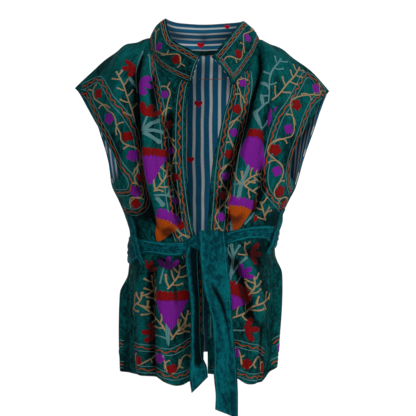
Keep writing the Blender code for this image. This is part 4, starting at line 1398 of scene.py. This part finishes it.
LEFT_BORDERS = (
    [
        (306, 3.4), (287, 5.2), (245, 11.4), (222, 16), (207, 20), (193, 24.4), (178, 28.6),
        (166, 32.6), (160, 36), (164, 38.6), (176, 40.6), (186, 41.4),
    ],
    [
        (306, 3), (286, 2.8), (262, 3), (236, 5), (212, 8.6), (188, 13.4), (160, 19.6), (136, 24.2),
        (122, 28.4), (115, 32.2), (109, 35.6), (108, 38.4), (114, 41), (132, 43.8), (160, 46.4),
        (184, 47.2),
    ],
    [
        (60, 5.2), (57, 11.8), (55, 17.4), (53, 22.6), (50, 27.6), (46, 33), (42, 39), (40, 46),
        (38, 53), (35, 58), (33, 62),
    ],
    [
        (14, 4.6), (13, 12), (12, 18), (12, 24), (14, 31.8), (14, 38), (14, 45.8), (13, 52.6),
        (12, 60), (12, 70), (12, 80), (12, 88.6),
    ],
    [(12, 88.8), (51, 89.4), (71, 89), (92, 88.8), (114, 89.8), (130, 91), (160, 91.6)],
    [(8, 97.6), (30, 98), (59, 98.2), (82, 97.8), (115, 98.2), (160, 98.2)],
)
BACK_BORDERS = (
    [(0, 88.6), (60, 88.8), (120, 89.2), (180, 90.2), (216, 91)],
    [(0, 97.6), (60, 97.6), (120, 97.8), (180, 97.8), (216, 97.8)],
)

# The places of the small flowers along each vine.
RIGHT_ARMHOLE_VINE = [
    (290, 6.4), (231, 13.2), (182, 22.4), (128, 29), (113, 33.4), (96, 38.2), (110, 41.4), (114, 45.2),
]
RIGHT_STRIP_VINE = [
    (43, 6), (49, 12.6), (36, 22.4), (30, 30.2), (23, 37.4), (28, 44.4), (23, 52), (20, 58),
]
RIGHT_HEM_VINE = [(172, 93.6), (150, 95.4), (100, 93.4), (76, 95.2), (47, 92.8), (20, 94)]
LEFT_ARMHOLE_VINE = [
    (290, 4), (262, 6.2), (180, 18.6), (157, 25.6), (127, 31.8), (131, 36.4), (144, 41.2), (166, 45),
]
LEFT_STRIP_VINE = [
    (34, 3), (38, 7.8), (31, 17.6), (33, 25.4), (30, 31.4), (28, 37.2), (27, 42.6), (25, 49.6),
    (23, 57),
]
LEFT_HEM_VINE = [(16, 93.4), (54, 92.4), (80, 94.2), (108, 93.2), (130, 96), (158, 95)]
BACK_HEM_VINE = [(8, 93.2), (46, 92.8), (84, 93.8), (122, 93.2), (160, 94.2), (196, 94.2)]
COLLAR_VINE = [
    (22, 30), (48, 33), (96, 30), (150, 33), (205, 30), (262, 33), (318, 30), (380, 33), (425, 30),
    (452, 34),
]

right = Needlework(PanelCloth(RIGHT_FRONT, FRONT_GRIDS["right_front"], False))
for path in RIGHT_BORDERS:
    right.border(path)
right.flowered_vine(RIGHT_ARMHOLE_VINE, "-RPRPRPR")
right.flowered_vine(RIGHT_STRIP_VINE, "-PRPRPR-", 9, -1, hug=11)
right.flowered_vine(RIGHT_HEM_VINE, "PRPR-R", 11, hug=8.5)
right.stem([(153, 6), (144, 10.6), (132, 16), (123, 19.4)], 2.7)
right.petals((160, 11.8), 36, RED, 165)
right.leaf([(151, 14.6), (138, 16.6), (127, 18.4)], 7)
right.twig([(116, 26.6), (126, 23.8), (143, 19.8), (160, 16), (181, 12.2)], 4, 20, 3)
right.petals((94, 14.8), 37, PURPLE, 12)
right.petals((78, 21), 38, RED, -62)
right.stem([(82, 23.4), (86, 26.2), (87, 27.8)], 3)
right.stem([(86, 28), (75, 25.2), (60, 23)], 7)
right.stem([(86, 28), (68, 26.4), (51, 25.8)], 6.6)
right.stem([(86, 28.2), (67, 28.4), (55, 28.8)], 7)
right.tulip((66, 33.2), 56, 50, 17, 4, PURPLE, RED, 8)
right.twig([(65, 41.2), (52, 39.2), (43, 37.4), (37, 34)], 3, 22, 3.1)
right.stem([(63, 41), (56, 40.8), (50, 41.2)], 3.2, BEIGE)
right.stem([(65, 42.4), (48, 42.4), (35, 43)], 4.4)
right.stem([(62, 43), (56, 44.2), (52, 45.2)], 6.6)
right.stem([(42, 42.4), (39, 41.2), (39, 40)], 4)
right.tulip((48, 50.4), 54, 48, 20, 30, ORANGE, PURPLE, 7)
right.petals((67, 62.6), 36, PURPLE, -86, 52)
right.stem([(74, 62.8), (83, 66.2), (88, 69.4)], 2.8)
right.petals((109, 64.6), 32, RED, -62)
right.twig([(77, 71), (66, 69), (54, 66.8), (47, 64)], 3, 26, 3.4)
right.twig([(105, 75.8), (112, 73), (116, 70.2), (116, 68)], 3, 22, 3.2)
right.twig([(85, 84.2), (95, 82), (122, 79.8), (135, 77.8)], 3, 22, 3.2)
right.twig([(164, 81.2), (164, 79), (140, 76.4), (134, 73.6)], 3, 26, 3.4)
right.twig([(76, 86.4), (64, 83.6), (49, 81.4), (41, 78.2)], 3, 23, 3.4)
right.twig([(62, 83.6), (52, 83), (38, 82.4)], 2, 22, 3.2)
right.tulip((71, 74.8), 66, 56, 21, 3, PURPLE, RED, 9)
right.leaf([(82, 80.4), (82, 84), (81, 88.4)], 8)
right.petals((127, 86.2), 36, RED, -168)
right.stem([(110, 86.6), (92, 86.2), (83, 86.6)], 3)
right.piece("right_front_embroidery")

left = Needlework(PanelCloth(LEFT_FRONT, FRONT_GRIDS["left_front"][:, ::-1], True))
for path in LEFT_BORDERS:
    left.border(path)
left.flowered_vine(LEFT_ARMHOLE_VINE, "-PRPRPRR", side=-1)
left.flowered_vine(LEFT_STRIP_VINE, "-PRPRPRPR", 9.6, hug=11.5)
left.flowered_vine(LEFT_HEM_VINE, "-PR-RP", 11, -1, hug=8.5)
left.twig([(111, 22.4), (114, 19.6), (117, 16.6), (129, 13), (159, 7.8)], 3, 24, 3.4, MIST)
left.leaf([(95, 15.8), (110, 18.2), (113, 19.4)], 7)
left.leaf([(94, 19.2), (95, 21.2), (98, 22.8)], 7.5)
left.stem([(111, 22.4), (91, 22.8), (80, 23)], 4.4)
left.leaf([(78, 22.6), (86, 25.8), (96, 28.4)], 8)
left.stem([(96, 28.2), (103, 27.6), (109, 26.4)], 3.6)
left.leaf([(117, 23.4), (114, 25.4), (111, 27.4)], 8, PURPLE)
left.leaf([(130, 22.2), (124, 23.6)], 4, PURPLE)
left.twig([(119, 21.4), (139, 18.6), (165, 13.8), (221, 4.2)], 4, 22, 3.1)
left.tulip((83, 29.8), 44, 52, 19, 8, PURPLE, RED, 5, BELL)
left.stem([(77, 33.8), (68, 36.6), (58, 39.4), (55, 43.2)], 7.4)
left.stem([(60, 39.4), (53, 39.2), (48, 39.4)], 3.4)
left.twig([(61, 39.4), (72, 38.2), (87, 37.6), (99, 37.4)], 3, 23, 3.3)
left.twig([(63, 39.4), (77, 40.6), (96, 42.2)], 2, 23, 3.3)
left.stem([(58, 39.4), (51, 38.2), (48, 36.8)], 3, BEIGE)
left.tulip((63, 46.2), 50, 56, 19, 14, ORANGE, PURPLE, 6)
left.stem([(48, 54.2), (48, 52.8), (46, 51.6)], 6.6)
left.leaf([(91, 44), (93, 45.6), (92, 47.4)], 9.5, RED)
left.leaf([(96, 48.8), (93, 50.8)], 8, RED)
left.twig([(118, 50.2), (112, 47.8), (105, 44.8)], 2, 23, 3.2)
left.stem([(115, 49), (120, 47.6), (129, 47)], 3.2, BEIGE)
left.stem([(72, 51.8), (83, 49.8), (91, 48.2)], 3.8)
left.stem([(42, 70), (48, 65.4), (51, 61.8), (47, 58.6)], 6.6)
left.stem([(45, 68.2), (62, 64.8), (76, 62.2)], 5)
left.stem([(51, 62.2), (57, 60.2), (63, 58.6)], 4.8)
left.stem([(50, 63.2), (44, 61.4), (39, 59.8)], 4.4)
left.twig([(80, 61.4), (74, 59.4), (75, 57.6)], 1, 18, 3)
left.petals((100, 60.4), 38, RED, 8, 50)
left.petals((76, 66.2), 32, PURPLE, -36)
left.stem([(71, 67.8), (63, 69.4), (55, 70.6)], 2.8)
left.tulip((44, 74.6), 86, 32, 32, 16, PURPLE, RED, 10)
left.twig([(83, 74.2), (87, 72.4), (91, 70.2), (89, 67.6)], 3, 23, 3.2)
left.twig([(46, 81.6), (61, 80.6), (84, 78.2), (99, 75.8), (133, 74.6), (143, 73)], 4, 24, 3.5, lean=68)
left.petals((91, 83.4), 40, RED, 2, 52)
left.stem([(78, 84), (64, 85), (50, 85.4)], 3.2)
left.piece("left_front_embroidery")

# The hem's embroidery carried round the back.  Each half of a back cloth is read from the centre out.
for side, panel, turned_over in (("right", RIGHT_BACK, True), ("left", LEFT_BACK, False)):
    half = outer_back[:, BACK_COLUMNS - 1 :][:, ::-1] if side == "right" else outer_back[:, :BACK_COLUMNS]
    hem = Needlework(PanelCloth(panel, half, turned_over))
    for path in BACK_BORDERS:
        hem.border(path)
    hem.flowered_vine(BACK_HEM_VINE, "RPRPRP", 11, 1 if turned_over else -1, hug=14.0)
    hem.piece("back_hem_embroidery_" + side)

collar_size = (COLLAR_LENGTH, COLLAR_HEIGHT)
neck = Needlework(StripCloth(collar_grid[::-1, ::-1], VELVET, False, collar_size))
for up in (9, 55):
    line = (6, 60, 140, 235, 330, 410, COLLAR_LENGTH - 6)
    neck.border([(along, up) for along in line], gap=4.4, swing=1.6)
neck.line([(3.5, 5), (3.5, 60)], 2.0, MIST)
neck.border([(COLLAR_LENGTH - 8, 14), (COLLAR_LENGTH - 8, 50)], gap=4.2, swing=1.4)
neck.vine(COLLAR_VINE, width=2.5, hug=11.0, fork=10.0)
for k, (place, thread) in enumerate(zip(COLLAR_VINE, "-RPRPRPPR-")):
    if thread in FLOWER_THREADS:
        neck.blossom(place, 10.0, FLOWER_THREADS[thread], turn=0.9 * k)
neck.piece("collar_embroidery")


def heart(size):
    """The outline of a heart."""
    around = np.linspace(0, 2 * np.pi, 33)[:-1]
    down = 5 * np.cos(2 * around) + 2 * np.cos(3 * around) + np.cos(4 * around) - 13 * np.cos(around)
    return np.stack([16 * np.sin(around) ** 3, down], axis=-1) / 32 * size


# The hearts sewn on the lining, and the fine line of stitches across it.
back_inside = outer_back - sheet_normals(outer_back) * LINING_GAP
right_inside, left_inside = back_inside[:, BACK_COLUMNS - 1 :][:, ::-1], back_inside[:, :BACK_COLUMNS]
for name, cloth, stitched, hearts in (
    (
        "lining_hearts_right",
        PanelCloth(RIGHT_BACK, right_inside, False, LINING),
        [(0, 12.7), (9, 12.7)],
        [(10, 20, 17), (26, 33.8, 15), (120, 44, 15), (70, 60, 15), (30, 80, 16)],
    ),
    (
        "lining_hearts_left",
        PanelCloth(LEFT_BACK, left_inside, True, LINING),
        [(52, 12.7), (26, 12.75), (0, 12.7)],
        [(239, 24, 12), (60, 47, 15), (110, 70, 15), (40, 86, 15)],
    ),
    (
        "collar_lining_hearts",
        StripCloth(collar_inside[::-1, ::-1], LINING, True, collar_size),
        [],
        [(237, 14, 15), (286, 57, 12)],
    ),
):
    inside = Needlework(cloth)
    if stitched:
        inside.line(stitched, 1.1, ORANGE, 0.3)
    for across, down, size in hearts:
        inside.fill((across, down), heart(size), BRIGHT_RED, 0.6, (0, -size * 0.1))
    inside.piece(name)

# Top stitching along the two long edges of the belt's stretches, tails and loops, one cloth at a time.
stitching = Needlework(None)
for grid, wall, runs_down in (
    (belt_back, BELT_CLOTH, False),
    (belt_right, BELT_CLOTH, False),
    (belt_left, BELT_CLOTH, False),
    (long_tail, BELT_CLOTH, True),
    (short_tail, BELT_CLOTH, True),
    (right_loop, VELVET, True),
    (left_loop, VELVET, True),
):
    stitching.cloth = cloth = StripCloth(grid, wall)
    long, wide = (cloth.rows, cloth.columns) if runs_down else (cloth.columns, cloth.rows)
    along = np.linspace(1.5, long[-1] - 1.5, 40)
    for across in (EDGE_MARGIN, wide[-1] - EDGE_MARGIN):
        places = np.stack([np.full_like(along, across), along], axis=-1)
        stitching.line(places if runs_down else places[:, ::-1], 1.0, SEWING, 0.25)
stitching.piece("belt_stitching", "belt_velvet")


# ---- floor, light and camera ----


def sweep_backdrop():
    """A pale floor that sweeps up behind."""
    floor, bend, back, top, half_width = -1.5, 1.2, 5.2, 5.0, 8.0
    turn = np.linspace(0, np.pi / 2, 25)
    bent = zip(back - bend + bend * np.sin(turn), floor + bend - bend * np.cos(turn))
    profile = [(-half_width, floor), *bent, (back, top)]
    vertices = [(x, y, z) for y, z in profile for x in (-half_width, half_width)]
    faces = [(2 * i, 2 * i + 1, 2 * i + 3, 2 * i + 2) for i in range(len(profile) - 1)]
    mesh = bpy.data.meshes.new("floor_and_backdrop")
    mesh.from_pydata(vertices, [], faces)
    mesh.polygons.foreach_set("use_smooth", np.ones(len(faces), dtype=bool))
    finish = bpy.data.materials.new("pale_floor")
    finish.use_nodes = True
    shader_values = {"Base Color": (0.9, 0.9, 0.9, 1.0), "Roughness": 0.9}
    fitted(finish.node_tree, finish.node_tree.nodes["Principled BSDF"], shader_values)
    mesh.materials.append(finish)
    placed("floor_and_backdrop", mesh)


def soft_light(name, place, aim, size, power):
    """A round soft light at a place, turned to what it lights."""
    lamp = bpy.data.lights.new(name, "AREA")
    lamp.shape = "DISK"
    lamp.size = size
    lamp.energy = power
    light = placed(name, lamp)
    light.location = place
    light.rotation_euler = (Vector(aim) - Vector(place)).to_track_quat("-Z", "Y").to_euler()


sweep_backdrop()
soft_light("key", (2.1, -1.9, 0.9), (0, 0, -0.3), 1.0, 37)
soft_light("fill", (-0.4, -3.4, 0.3), (0, 0, -0.35), 1.2, 29)
soft_light("top", (0.0, 0.3, 1.9), (0, 0, -0.3), 1.6, 10)
soft_light("backdrop_left", (-2.8, 3.4, 0.8), (0, 5.2, -0.3), 1.5, 75)
soft_light("backdrop_right", (2.8, 3.4, 0.8), (0, 5.2, -0.3), 1.5, 75)

world = bpy.data.worlds.new("studio")
bpy.context.scene.world = world
world.use_nodes = True
fitted(world.node_tree, world.node_tree.nodes["Background"], {"Color": (1.0, 1.0, 1.0, 1.0), "Strength": 0.2})

lens = bpy.data.cameras.new("camera")
lens.sensor_width = 36.0
lens.lens = 149.2
camera = placed("camera", lens)
camera.location = (0.01015, -3.5, -0.341)
camera.rotation_euler = (np.pi / 2, 0, 0)
bpy.context.scene.camera = camera
bpy.context.scene.view_settings.view_transform = "Standard"
